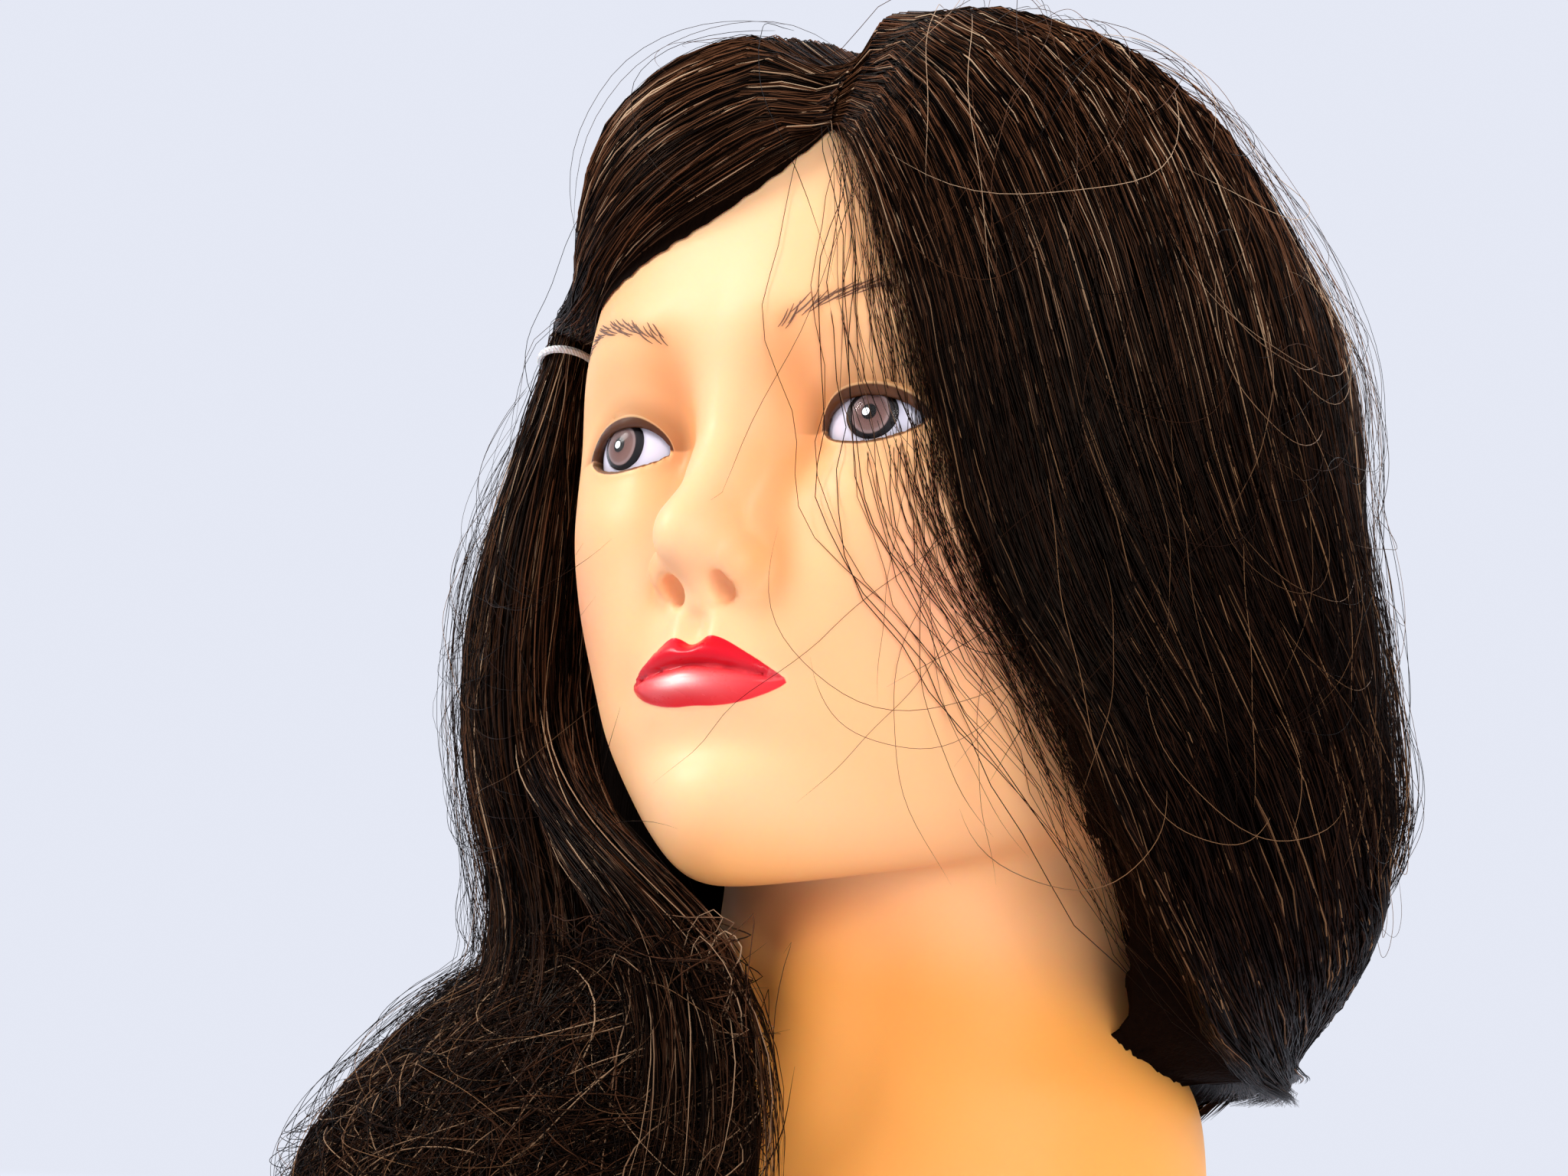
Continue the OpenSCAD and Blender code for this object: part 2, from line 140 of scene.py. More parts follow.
def eye_edges(u):
    """Heights of the lids' edges over the line between the eye's corners, for u from 0 to 1."""
    s = np.clip(u, 0.0, 1.0)
    arc = 4.0 * s * (1.0 - s)
    skew = s ** 0.86
    crest = 4.0 * skew * (1.0 - skew)
    return 6.1 * crest ** 0.64, -4.1 * arc ** 0.78


def eye_outline():
    s = np.linspace(0.0, 1.0, 29)
    s = 0.5 - 0.5 * np.cos(np.pi * s)
    up, down = eye_edges(s)
    x = CANTHUS_IN + (CANTHUS_OUT - CANTHUS_IN) * s
    tilt = CANTHUS_Z + 0.7 * s
    return np.concatenate([np.stack([x, tilt + up], 1), np.stack([x, tilt + down], 1)[::-1][1:]])


EYE_OUTLINE = eye_outline()


def lid_distance(x, z):
    """Signed distance from the edge of the eye's opening, negative between the lids."""
    ax = np.abs(x)
    s = (ax - CANTHUS_IN) / (CANTHUS_OUT - CANTHUS_IN)
    up, down = eye_edges(s)
    w = z - CANTHUS_Z - 0.7 * s
    inside = (s > 0) & (s < 1) & (w < up) & (w > down)
    best = np.full(np.broadcast(ax, z).shape, 1e9)
    for a, b in zip(EYE_OUTLINE[:-1], EYE_OUTLINE[1:]):
        d = b - a
        t = np.clip(((ax - a[0]) * d[0] + (z - a[1]) * d[1]) / max(float(d @ d), 1e-9), 0.0, 1.0)
        best = np.minimum(best, (ax - a[0] - t * d[0]) ** 2 + (z - a[1] - t * d[1]) ** 2)
    return np.where(inside, -1.0, 1.0) * np.sqrt(best)


def face_push(x, z):
    """How far the soft forms of the face stand out of the plain head, seen from the front."""
    ax = np.abs(x)
    out = -7.6 * hill(ax - 15.5, 5.6) * hill(z - 183, 10.5)          # hollow beside the nose's root
    out = out - 5.2 * hill(ax - 36, 12.5) * hill(z - 189, 8.0)        # eye socket
    out = out - 2.6 * hill(ax - 20.5, 4.2) * hill(z - 182, 6.0)       # inner corner of the eye
    out = out - 2.2 * hill(ax - 32, 11) * hill(z - 175, 5.0)          # under the lower lid
    out = out + 1.8 * hill(ax - 26, 17) * hill(z - 207, 7.0)          # brow
    out = out - 2.9 * hill(ax - 18, 9.0) * hill(z - 160, 15)          # beside the nose
    out = out + 3.2 * hill(ax - 46, 15) * hill(z - 162, 15)           # cheekbone
    out = out - 1.6 * hill(ax - 60, 10) * hill(z - 215, 14)           # temple
    out = out + 5.6 * hill(x, 17) * hill(z - 131, 14)                 # muzzle
    out = out + 1.6 * hill(ax - 26, 8) * hill(z - 141, 12)            # fold beside the mouth
    out = out - 1.4 * hill(ax - 23, 4) * hill(z - 126, 5)             # corner of the mouth
    out = out + 3.6 * hill(x, 15) * hill(z - 100, 8.5)                # chin
    out = out - 2.6 * hill(x, 15) * hill(z - 112.5, 4.2)              # fold over the chin
    groove = ramp(z, 132.5, 135.5) * (1.0 - ramp(z, 139.5, 142.5))
    out = out + groove * (0.8 * hill(ax - 5.0, 2.0) - 1.5 * hill(x, 2.1))
    return out + lips_out(x, z)


def plain_head(x, f, z):
    """Distance to the cranium and jaw before the features."""
    fine = [np.interp(z, *column) for column in HEAD_COLUMNS]
    front = f > 0
    power = np.where(front, fine[3], 2.2)
    reach = np.where(front, fine[0], fine[1])
    ax = np.sqrt(x * x + 4.0) - 2.0
    flat = ((ax / fine[2]) ** power + (np.abs(f) / reach) ** power) ** (1.0 / power)
    over = np.maximum(z - DOME_Z, 0.0)
    total = (flat ** DOME_POWER + (over / (DOME_TOP - DOME_Z)) ** DOME_POWER) ** (1.0 / DOME_POWER)
    radius = np.sqrt(x * x + f * f + over * over)
    d = radius * (1.0 - 1.0 / np.maximum(total, 1e-4))
    jaw = (CHIN_Z + (85.0 - f) * JAW_RISE - z) * 0.965
    return -blend_union(-d, -jaw, 15.0)


def neck(x, f, z):
    fine = [np.interp(z, *column) for column in NECK_COLUMNS]
    reach = np.where(f > 0, fine[0], fine[1])
    flat = np.sqrt((x / fine[2]) ** 2 + (f / reach) ** 2)
    radius = np.sqrt(x * x + f * f)
    d = radius * (1.0 - 1.0 / np.maximum(flat, 1e-4))
    return np.maximum(d, (z - 150.0))


def head_field(x, y, z):
    """Signed distance to the finished skin, negative inside. Broadcasts over its arguments."""
    f = -y
    ax = np.abs(x)
    weight = ramp(f, 25.0, 55.0)
    d = plain_head(x, f - weight * face_push(x, z), z)

    d = blend_union(d, rod(x, f, z, (0, 91.0, 191), (0, 97.0, 172), 6.0, 6.2), 6.5)
    d = blend_union(d, rod(x, f, z, (0, 97.0, 173), (0, 107.5, 158.5), 6.2, 6.2), 5.0)
    wings = ball(ax, f, z, (8.6, 99.6, 150.4), (5.7, 7.0, 6.0))
    wings = blend_union(wings, ball(ax, f, z, (3.2, 102.5, 157.5), (5.0, 6.4, 6.6)), 5.0)
    nose = blend_union(ball(x, f, z, (0, 107.7, 154.8), (6.8, 7.4, 6.5)), wings, 4.5)
    nose = blend_union(nose, rod(x, f, z, (0, 106, 151), (0, 100.5, 143.5), 3.1, 3.0), 3.5)
    d = blend_union(d, nose, 4.5)
    d = blend_cut(d, ball(ax, f, z, (6.4, 103.0, 145.4), (2.8, 4.6, 3.6)), 1.1)

    lid = lid_distance(x, z)
    upper = ramp(z, 181.5, 184.5)
    roll = upper * (0.55 * hill(lid - 1.7, 1.2) - 1.5 * ramp(lid, 3.2, 4.4))
    roll = roll + (1.0 - upper) * (0.25 * hill(lid - 0.6, 0.6) - 1.2 * ramp(lid, 2.0, 5.0))
    shell = ball(ax, f, z, (EYE_X, EYE_F, EYE_Z), (EYE_R, EYE_R, EYE_R)) - 1.35 - roll
    d = blend_union(d, np.maximum(shell, 60.0 - f), 2.2)

    d = blend_union(d, neck(x, f, z), 9.0)
    d = blend_union(d, rod(ax, f, z, (48, -16, 128), (15, 47, 10), 11.0, 8.5), 15.0)
    d = blend_union(d, rod(x, f, z, (0, 44, 70), (0, 47, 40), 9.0, 8.0), 12.0)

    ear = ball(ax, f, z, (78.0, -6.0, 178.0), (5.0, 14.0, 27.0))
    ear = blend_cut(ear, ball(ax, f, z, (84.5, -3.0, 180.0), (5.0, 7.5, 17.0)), 3.0)
    d = blend_union(d, ear, 5.0)

    pocket = np.sqrt((ax - EYE_X) ** 2 + (f - EYE_F) ** 2 + (z - EYE_Z) ** 2) - (EYE_R + 0.12)
    slot = np.maximum(lid, 70.0 - f)
    d = blend_cut(d, np.minimum(pocket, slot), 0.55)

    well = np.maximum(np.sqrt(x * x + f * f) - 62.9, z - 6.9)
    d = np.maximum(d, -well)
    return np.maximum(d, -z)


def ladder(stops):
    """Coordinates along one axis from (place, step) pairs: the step changes smoothly between them."""
    places = [stops[0][0]]
    where = [s[0] for s in stops]
    steps = [s[1] for s in stops]
    while places[-1] < where[-1]:
        places.append(places[-1] + np.interp(places[-1], where, steps))
    return np.array(places)


def surface_net(field, xs, ys, zs):
    """Quads on the zero level of a field sampled on a grid, one point in each crossed cell."""
    inside = field < 0
    count = np.zeros(tuple(n - 1 for n in field.shape), np.int8)
    corners = [(i, j, k) for i in (0, 1) for j in (0, 1) for k in (0, 1)]
    nx, ny, nz = field.shape
    for i, j, k in corners:
        count += inside[i:nx - 1 + i, j:ny - 1 + j, k:nz - 1 + k]
    cells = np.argwhere((count > 0) & (count < 8))
    index = np.full(count.shape, -1, np.int64)
    index[tuple(cells.T)] = np.arange(len(cells))
    values = {c: field[tuple((cells + np.array(c)).T)] for c in corners}
    total = np.zeros((len(cells), 3))
    hits = np.zeros(len(cells))
    for a in corners:
        for axis in range(3):
            if a[axis]:
                continue
            b = tuple(1 if n == axis else a[n] for n in range(3))
            va, vb = values[a], values[b]
            crossed = (va < 0) != (vb < 0)
            t = np.where(crossed, va / np.where(crossed, va - vb, 1.0), 0.0)
            spot = np.array(a, float)[None, :].repeat(len(cells), 0)
            spot[:, axis] += t
            total[crossed] += spot[crossed]
            hits[crossed] += 1
    local = cells + total / hits[:, None]
    points = np.stack([np.interp(local[:, n], np.arange(len(c)), c)
                       for n, c in enumerate((xs, ys, zs))], 1)
    quads = []
    for axis in range(3):
        u, v = (axis + 1) % 3, (axis + 2) % 3
        low = [slice(None)] * 3
        high = [slice(None)] * 3
        low[axis], high[axis] = slice(0, -1), slice(1, None)
        edges = np.argwhere(inside[tuple(low)] != inside[tuple(high)])
        keep = (edges[:, u] > 0) & (edges[:, v] > 0)
        keep &= (edges[:, u] < field.shape[u] - 1) & (edges[:, v] < field.shape[v] - 1)
        edges = edges[keep]
        starts = inside[tuple(edges.T)]
        ring = []
        for du, dv in ((1, 1), (0, 1), (0, 0), (1, 0)):
            cell = edges.copy()
            cell[:, u] -= du
            cell[:, v] -= dv
            ring.append(index[tuple(cell.T)])
        ring = np.stack(ring, 1)
        quads.append(np.where(starts[:, None], ring, ring[:, ::-1]))
    return points, np.concatenate(quads)


def settle(points, field, rounds=3, reach=0.6):
    """Moves points onto the zero level of a field along its slope."""
    step = 0.05
    for _ in range(rounds):
        x, y, z = points.T
        here = field(x, y, z)
        slope = np.stack([field(x + step, y, z) - field(x - step, y, z),
                          field(x, y + step, z) - field(x, y - step, z),
                          field(x, y, z + step) - field(x, y, z - step)], 1) / (2 * step)
        square = np.maximum((slope ** 2).sum(1), 0.05)
        move = -(here / square)[:, None] * slope
        length = np.linalg.norm(move, axis=1, keepdims=True)
        points = points + move * np.minimum(1.0, reach / np.maximum(length, 1e-9))
    return points


def relax(points, quads, rounds=2):
    """Slides each point towards the middle of its neighbours."""
    for _ in range(rounds):
        total = np.zeros_like(points)
        hits = np.zeros(len(points))
        for n in range(4):
            a, b = quads[:, n], quads[:, (n + 1) % 4]
            np.add.at(total, a, points[b])
            np.add.at(total, b, points[a])
            np.add.at(hits, a, 1)
            np.add.at(hits, b, 1)
        points = 0.5 * points + 0.5 * total / np.maximum(hits, 1)[:, None]
    return points


def mesh_object(name, points_mm, faces, material, smooth=True):
    """A mesh object from points in millimetres."""
    mesh = bpy.data.meshes.new(name)
    points = np.asarray(points_mm, float) * MM
    faces = np.asarray(faces)
    mesh.vertices.add(len(points))
    mesh.vertices.foreach_set("co", points.ravel())
    width = faces.shape[1]
    mesh.loops.add(faces.size)
    mesh.loops.foreach_set("vertex_index", faces.ravel().astype(np.int32))
    mesh.polygons.add(len(faces))
    mesh.polygons.foreach_set("loop_start", np.arange(0, faces.size, width, dtype=np.int32))
    mesh.update(calc_edges=True)
    mesh.validate()
    mesh.polygons.foreach_set("use_smooth", np.full(len(faces), smooth))
    mesh.materials.append(material)
    piece = bpy.data.objects.new(name, mesh)
    bpy.context.scene.collection.objects.link(piece)
    return piece


def add_field(piece, name, values):
    layer = piece.data.attributes.new(name, "FLOAT", "POINT")
    layer.data.foreach_set("value", np.asarray(values, np.float32))


def head_skin():
    """The skin's points and quads, fine on the face and coarser behind."""
    xs = ladder([(-92, 3.0), (-62, 1.7), (-48, 1.1), (48, 1.1), (62, 1.7), (92, 3.0)])
    ys = ladder([(-124, 1.08), (-84, 1.08), (-66, 1.7), (-40, 2.8), (98, 3.0)])
    zs = ladder([(-4, 1.2), (12, 1.8), (30, 2.8), (84, 2.0), (94, 1.3), (114, 1.04), (140, 1.04),
                 (150, 1.12), (172, 1.12), (178, 0.96), (192, 0.96), (214, 1.8), (240, 2.8), (300, 2.8)])
    field = head_field(xs[:, None, None], ys[None, :, None], zs[None, None, :])
    points, quads = surface_net(field, xs, ys, zs)
    points = relax(points, quads, 1)
    return settle(points, head_field), quads


# ---------------------------------------------------------------------------------------------
# Camera, light and floor
# ---------------------------------------------------------------------------------------------

def aim_camera():
    """Close to the head's left front and a little below the eyes, looking up with a slight roll."""
    yaw, pitch, roll = math.radians(35.73), math.radians(12.69), math.radians(4.03)
    ahead = Vector((-math.sin(yaw) * math.cos(pitch), math.cos(yaw) * math.cos(pitch), math.sin(pitch)))
    level = Vector((math.cos(yaw), math.sin(yaw), 0.0))
    up = level.cross(ahead)
    right = level * math.cos(roll) + up * math.sin(roll)
    up = right.cross(ahead)
    data = bpy.data.cameras.new("camera")
    data.lens = 55.79
    data.sensor_width = 36.0
    data.clip_start = 0.01
    camera = bpy.data.objects.new("camera", data)
    turn = Matrix((right, up, -ahead)).transposed().to_4x4()
    camera.matrix_world = Matrix.Translation((0.3104, -0.5030, 0.0329)) @ turn
    bpy.context.scene.collection.objects.link(camera)
    bpy.context.scene.camera = camera


def area_light(name, at, towards, size, power, colour):
    data = bpy.data.lights.new(name, "AREA")
    data.shape = "DISK"
    data.size = size
    data.energy = power
    data.color = colour
    light = bpy.data.objects.new(name, data)
    light.location = at
    light.rotation_euler = (Vector(towards) - Vector(at)).to_track_quat("-Z", "Y").to_euler()
    bpy.context.scene.collection.objects.link(light)


def studio():
    world = bpy.data.worlds.new("studio")
    world.use_nodes = True
    sky = world.node_tree.nodes["Background"]
    sky.inputs["Color"].default_value = (0.78, 0.81, 0.91, 1.0)
    sky.inputs["Strength"].default_value = 1.0
    bpy.context.scene.world = world
    bpy.context.scene.view_settings.view_transform = "Standard"
    head = (0.0, -0.02, 0.18)
    area_light("key", (-1.02, -0.92, 0.98), head, 0.55, 17.6, (1.0, 0.98, 0.95))
    area_light("fill", (1.2, -0.9, 0.45), head, 0.9, 14.0, (1.0, 0.97, 0.94))
    area_light("back", (0.6, 1.1, 0.9), head, 0.8, 14.0, (0.95, 0.97, 1.0))


def floor():
    bpy.ops.mesh.primitive_plane_add(size=6.0, location=(0.0, 0.0, -0.0005))
    plane = bpy.context.object
    plane.name = "floor"
    floor_paint = Paint("floor").set(Roughness=1.0, IOR=1.0, Specular_IOR_Level=0.0, Emission_Color=(0.78, 0.81, 0.91))
    spot = floor_paint.nodes.new("ShaderNodeVectorMath")
    spot.operation = "LENGTH"
    floor_paint.links.new(floor_paint.place(), spot.inputs[0])
    far = floor_paint.step(spot.outputs["Value"], 0.16, 0.55)
    floor_paint.join(floor_paint.mix(far, (0.66, 0.68, 0.75), (0.0, 0.0, 0.0)), "Base Color")
    floor_paint.join(far, "Emission Strength")
    plane.data.materials.append(floor_paint.material)
    return plane


# ---------------------------------------------------------------------------------------------
# Materials
# ---------------------------------------------------------------------------------------------

class Paint:
    """A material under construction: short calls that add and join shader nodes."""

    def __init__(self, name):
        self.material = bpy.data.materials.new(name)
        self.material.use_nodes = True
        self.nodes = self.material.node_tree.nodes
        self.links = self.material.node_tree.links
        self.shader = self.nodes["Principled BSDF"]

    def set(self, **values):
        for key, value in values.items():
            socket = self.shader.inputs[key.replace("_", " ")]
            if hasattr(socket.default_value, "__len__") and len(socket.default_value) == 4:
                socket.default_value = (*value, 1.0)
            else:
                socket.default_value = value
        return self

    def join(self, source, socket):
        self.links.new(source, self.shader.inputs[socket])

    def field(self, name):
        node = self.nodes.new("ShaderNodeAttribute")
        node.attribute_name = name
        return node.outputs["Fac"]

    def place(self):
        return self.nodes.new("ShaderNodeTexCoord").outputs["Object"]

    def math(self, kind, a, b=0.0, c=0.0):
        node = self.nodes.new("ShaderNodeMath")
        node.operation = kind
        for n, value in enumerate((a, b, c)):
            self.put(value, node.inputs[n])
        return node.outputs[0]

    def put(self, value, socket):
        if isinstance(value, bpy.types.NodeSocket):
            self.links.new(value, socket)
        elif isinstance(value, tuple) and len(value) == 3 and len(socket.default_value) == 4:
            socket.default_value = (*value, 1.0)
        else:
            socket.default_value = value

    def step(self, value, low, high, to_low=0.0, to_high=1.0):
        """A smooth step of a value from low to high."""
        node = self.nodes.new("ShaderNodeMapRange")
        node.interpolation_type = "SMOOTHSTEP"
        node.inputs["From Min"].default_value = low
        node.inputs["From Max"].default_value = high
        node.inputs["To Min"].default_value = to_low
        node.inputs["To Max"].default_value = to_high
        self.links.new(value, node.inputs["Value"])
        return node.outputs["Result"]

    def mix(self, share, a, b, kind="MIX"):
        node = self.nodes.new("ShaderNodeMix")
        node.data_type = "RGBA"
        node.blend_type = kind
        self.put(share, node.inputs["Factor"])
        for value, socket in ((a, node.inputs[6]), (b, node.inputs[7])):
            self.put(value, socket)
        return node.outputs[2]

    def noise(self, scale, detail=3.0, where=None, roughness=0.55):
        node = self.nodes.new("ShaderNodeTexNoise")
        node.inputs["Scale"].default_value = scale
        node.inputs["Detail"].default_value = detail
        node.inputs["Roughness"].default_value = roughness
        self.links.new(where or self.place(), node.inputs["Vector"])
        return node.outputs["Fac"]

    def stretched(self, x, y, z):
        node = self.nodes.new("ShaderNodeMapping")
        node.inputs["Scale"].default_value = (x, y, z)
        self.links.new(self.place(), node.inputs["Vector"])
        return node.outputs["Vector"]

    def bump(self, height, strength, distance):
        node = self.nodes.new("ShaderNodeBump")
        node.inputs["Strength"].default_value = strength
        node.inputs["Distance"].default_value = distance
        self.links.new(height, node.inputs["Height"])
        self.links.new(node.outputs["Normal"], self.shader.inputs["Normal"])


def skin_paint():
    """Warm satin vinyl with the painted lids, lips, blush and brow wash, and painted light and shade: painted shade
    beside the nose, in the lips' crease and down the neck, a paler painted light on the front of the face, and painted
    highlights on the upper lids and the lower lip.
    """
    p = Paint("vinyl_skin")
    p.set(Subsurface_Weight=0.35, Subsurface_Radius=(1.0, 0.32, 0.10), Subsurface_Scale=0.006,
          IOR=1.3)
    speck = p.noise(140.0, 4.0)
    cloud = p.noise(22.0, 2.0)
    colour = p.mix(p.step(cloud, 0.3, 0.7), (0.94, 0.455, 0.192), (0.96, 0.472, 0.205))
    colour = p.mix(p.field("blush"), colour, (0.80, 0.27, 0.17))
    colour = p.mix(p.field("shade"), colour, (0.80, 0.27, 0.062))
    # Painted light: the front of the face is paler, most of all on its lit middle.
    colour = p.mix(p.field("pale_lit_front"), colour, (0.98, 0.60, 0.34))
    # Painted shade: the lower neck and the underside of the jaw turn a deep orange.
    colour = p.mix(p.field("neck_shade"), colour, (0.87, 0.355, 0.070))
    colour = p.mix(p.field("brow_wash"), colour, (0.50, 0.21, 0.075))
    lid, up = p.field("lid_edge"), p.field("lid_up")
    above = p.step(up, -0.3, 0.5)
    below = p.math("SUBTRACT", 1.0, above)
    band_edge = p.field("lid_band")
    smoke = p.math("MULTIPLY", p.step(lid, 9.0, 1.5), above)
    colour = p.mix(p.math("MULTIPLY", smoke, 0.72), colour, (0.40, 0.15, 0.042))
    # Painted highlight: a thin light tan line along the top edge of the upper lid's band.
    lid_highlight = p.math("MULTIPLY", p.step(band_edge, 3.5, 3.15), p.step(band_edge, 2.5, 2.85))
    lid_highlight = p.math("MULTIPLY", lid_highlight, above)
    band = p.math("MULTIPLY", p.step(band_edge, 3.1, 2.3), above)
    colour = p.mix(p.math("MULTIPLY", band, 0.94), colour, (0.060, 0.018, 0.007))
    colour = p.mix(p.math("MULTIPLY", lid_highlight, 0.42), colour, (0.80, 0.52, 0.26))
    line = p.math("MULTIPLY", p.step(band_edge, 1.1, 0.6), below)
    colour = p.mix(p.math("MULTIPLY", line, 0.9), colour, (0.085, 0.035, 0.012))
    lip = p.step(p.field("lip_edge"), -0.12, 0.12)
    halves = p.mix(p.step(p.field("lip_line"), -0.35, 0.35), (0.82, 0.010, 0.022), (0.62, 0.0, 0.012))
    # Painted highlight: a pale pink spot on the lower lip.
    halves = p.mix(p.field("lip_highlight"), halves, (1.0, 0.72, 0.66))
    # Painted shade: a dark red line in the crease between the lips.
    halves = p.mix(p.field("lip_seam_shade"), halves, (0.42, 0.0, 0.008))
    colour = p.mix(lip, colour, halves)
    p.join(colour, "Base Color")
    rough = p.math("ADD", 0.40, p.math("MULTIPLY", speck, 0.10))
    rough = p.math("SUBTRACT", rough, p.math("MULTIPLY", lip, 0.17))
    rough = p.math("SUBTRACT", rough, p.math("MULTIPLY", band, 0.20))
    p.join(rough, "Roughness")
    p.bump(speck, 0.05, 0.0003)
    return p.material


def eye_white_paint():
    p = Paint("eye_white")
    p.set(Roughness=0.22, Subsurface_Weight=0.1, Subsurface_Radius=(0.6, 0.5, 0.6),
          Subsurface_Scale=0.002, IOR=1.35)
    tint = p.mix(p.step(p.noise(90.0), 0.35, 0.65), (0.70, 0.66, 0.76), (0.76, 0.72, 0.80))
    # Pink tone with painted shade: the white turns a darker pink towards the eye's inner corner.
    p.join(p.mix(p.field("pink_corner_shade"), tint, (0.46, 0.33, 0.36)), "Base Color")
    return p.material


def iris_paint():
    """Mauve-brown iris with a black pupil, a printed white dot that also glows as painted light, and a black outer
    ring.
    """
    p = Paint("eye_iris")
    p.set(Roughness=0.45, IOR=1.3)
    out = p.field("iris_out")
    streak = p.field("streak")
    inner = p.mix(p.step(out, 1.5, 5.0), (0.22, 0.105, 0.085), (0.37, 0.215, 0.185))
    inner = p.mix(p.step(p.field("iris_up"), -3.0, 4.5), inner, (0.12, 0.062, 0.058))
    inner = p.mix(p.math("MULTIPLY", p.noise(420.0), streak), inner, (0.16, 0.075, 0.06))
    halo = p.math("MULTIPLY", p.step(out, 3.7, 4.2), p.step(out, 4.7, 4.3))
    inner = p.mix(p.math("MULTIPLY", halo, 0.35), inner, (0.50, 0.40, 0.40))
    ring = p.step(out, 4.35, 4.7)
    inner = p.mix(ring, inner, (0.010, 0.008, 0.010))
    pupil = p.step(out, 1.85, 1.65)
    inner = p.mix(pupil, inner, (0.003, 0.003, 0.003))
    dot = p.step(p.field("dot"), 0.92, 0.78)
    inner = p.mix(dot, inner, (0.92, 0.93, 0.94))
    p.join(inner, "Base Color")
    # Painted light: the printed white dot glows.
    p.set(Emission_Color=(1.0, 1.0, 1.0))
    p.join(p.math("MULTIPLY", dot, 0.75), "Emission Strength")
    return p.material


def cornea_paint():
    p = Paint("eye_cornea")
    p.set(Base_Color=(1.0, 1.0, 1.0), Roughness=0.04, IOR=1.12, Transmission_Weight=1.0)
    return p.material


# ---------------------------------------------------------------------------------------------
# Face and eyes
# ---------------------------------------------------------------------------------------------

BROW_POINTS = np.array([(14.5, 203.0), (22, 206.4), (31, 209.3), (40, 211.0), (48, 210.0), (56, 206.0)])


def brow_height(ax):
    return np.interp(ax, np.linspace(14.5, 56, 60), np.interp(
        np.linspace(14.5, 56, 60), BROW_POINTS[:, 0], BROW_POINTS[:, 1]))


def paint_face(piece, points):
    """Stores where the paint lies as smooth fields on the skin's points."""
    x, y, z = points.T
    ax = np.abs(x)
    front = ramp(-y, 30.0, 50.0)
    s = (ax - CANTHUS_IN) / (CANTHUS_OUT - CANTHUS_IN)
    lid = np.where(front > 0.5, lid_distance(x, z), 40.0)
    add_field(piece, "lid_edge", lid)
    width = 0.34 + 0.58 * np.sin(np.pi * np.clip(0.04 + 0.72 * s, 0.0, 1.0)) ** 0.9
    add_field(piece, "lid_band", lid / width)
    add_field(piece, "lid_up", z - CANTHUS_Z - 0.7 * np.clip(s, 0, 1) - 0.35 * np.abs(s - 0.5))
    line, top, low = mouth_curves(x)
    upright = 1.0 / np.sqrt(1.0 + (0.45 * np.clip(ax / MOUTH_HALF, 0, 1)) ** 2)
    edge = np.minimum(top - z, z - low) * upright
    edge = np.minimum(edge, MOUTH_HALF - ax)
    add_field(piece, "lip_edge", np.where(front > 0.5, edge, -20.0))
    add_field(piece, "lip_line", z - line)
    # Painted shade along the mouth's crease, fading out at its corners.
    add_field(piece, "lip_seam_shade", 0.5 * hill(z - line, 0.6) * (1.0 - ramp(ax, MOUTH_HALF - 3.0, MOUTH_HALF)))
    # Painted highlight on the lower lip, left of its middle, with a fainter, wider sheen.
    middle = 0.55 * line + 0.45 * low
    add_field(piece, "lip_highlight", 0.95 * hill(x + 2.0, 3.6) * hill(z - middle, 0.8)
              + 0.22 * hill(x, 9.0) * hill(z - middle, 2.0))
    add_field(piece, "blush", 0.55 * front * hill(ax - 52, 12) * hill(z - 146, 13))
    side = hill(ax - 14.5, 6.5) * hill(z - 177, 19) + 0.6 * hill(ax - 17, 4) * hill(z - 149, 8)
    side = side + 0.35 * hill(ax - 20, 7) * hill(z - 199, 7)
    add_field(piece, "shade", 0.72 * front * np.minimum(side, 1.0))
    # Painted light: a paler front of the face, strongest down its middle, kept off the painted shade.
    middle = 0.5 * hill(ax, 17) * ramp(z, 84, 100) * (1.0 - np.minimum(side, 1.0))
    add_field(piece, "pale_lit_front", front * (0.12 + middle))
    # Painted shade on the lower neck, fading out up under the jaw.
    add_field(piece, "neck_shade", 0.95 * (1.0 - ramp(z + 0.25 * (y + 60.0), 66.0, 96.0)))
    wash = hill(z - brow_height(ax), 1.6) * ramp(ax, 13, 17) * (1.0 - ramp(ax, 50, 56))
    add_field(piece, "brow_wash", 0.42 * front * wash)


def on_skin(x, z, lift=0.0):
    """Points on the face at (x, z), found by halving the forward reach."""
    low, high = np.full(len(x), 55.0), np.full(len(x), 128.0)
    for _ in range(22):
        middle = 0.5 * (low + high)
        inside = head_field(x, -middle, z) < 0
        low, high = np.where(inside, middle, low), np.where(inside, high, middle)
    return np.stack([x, -(low + lift), z], 1)


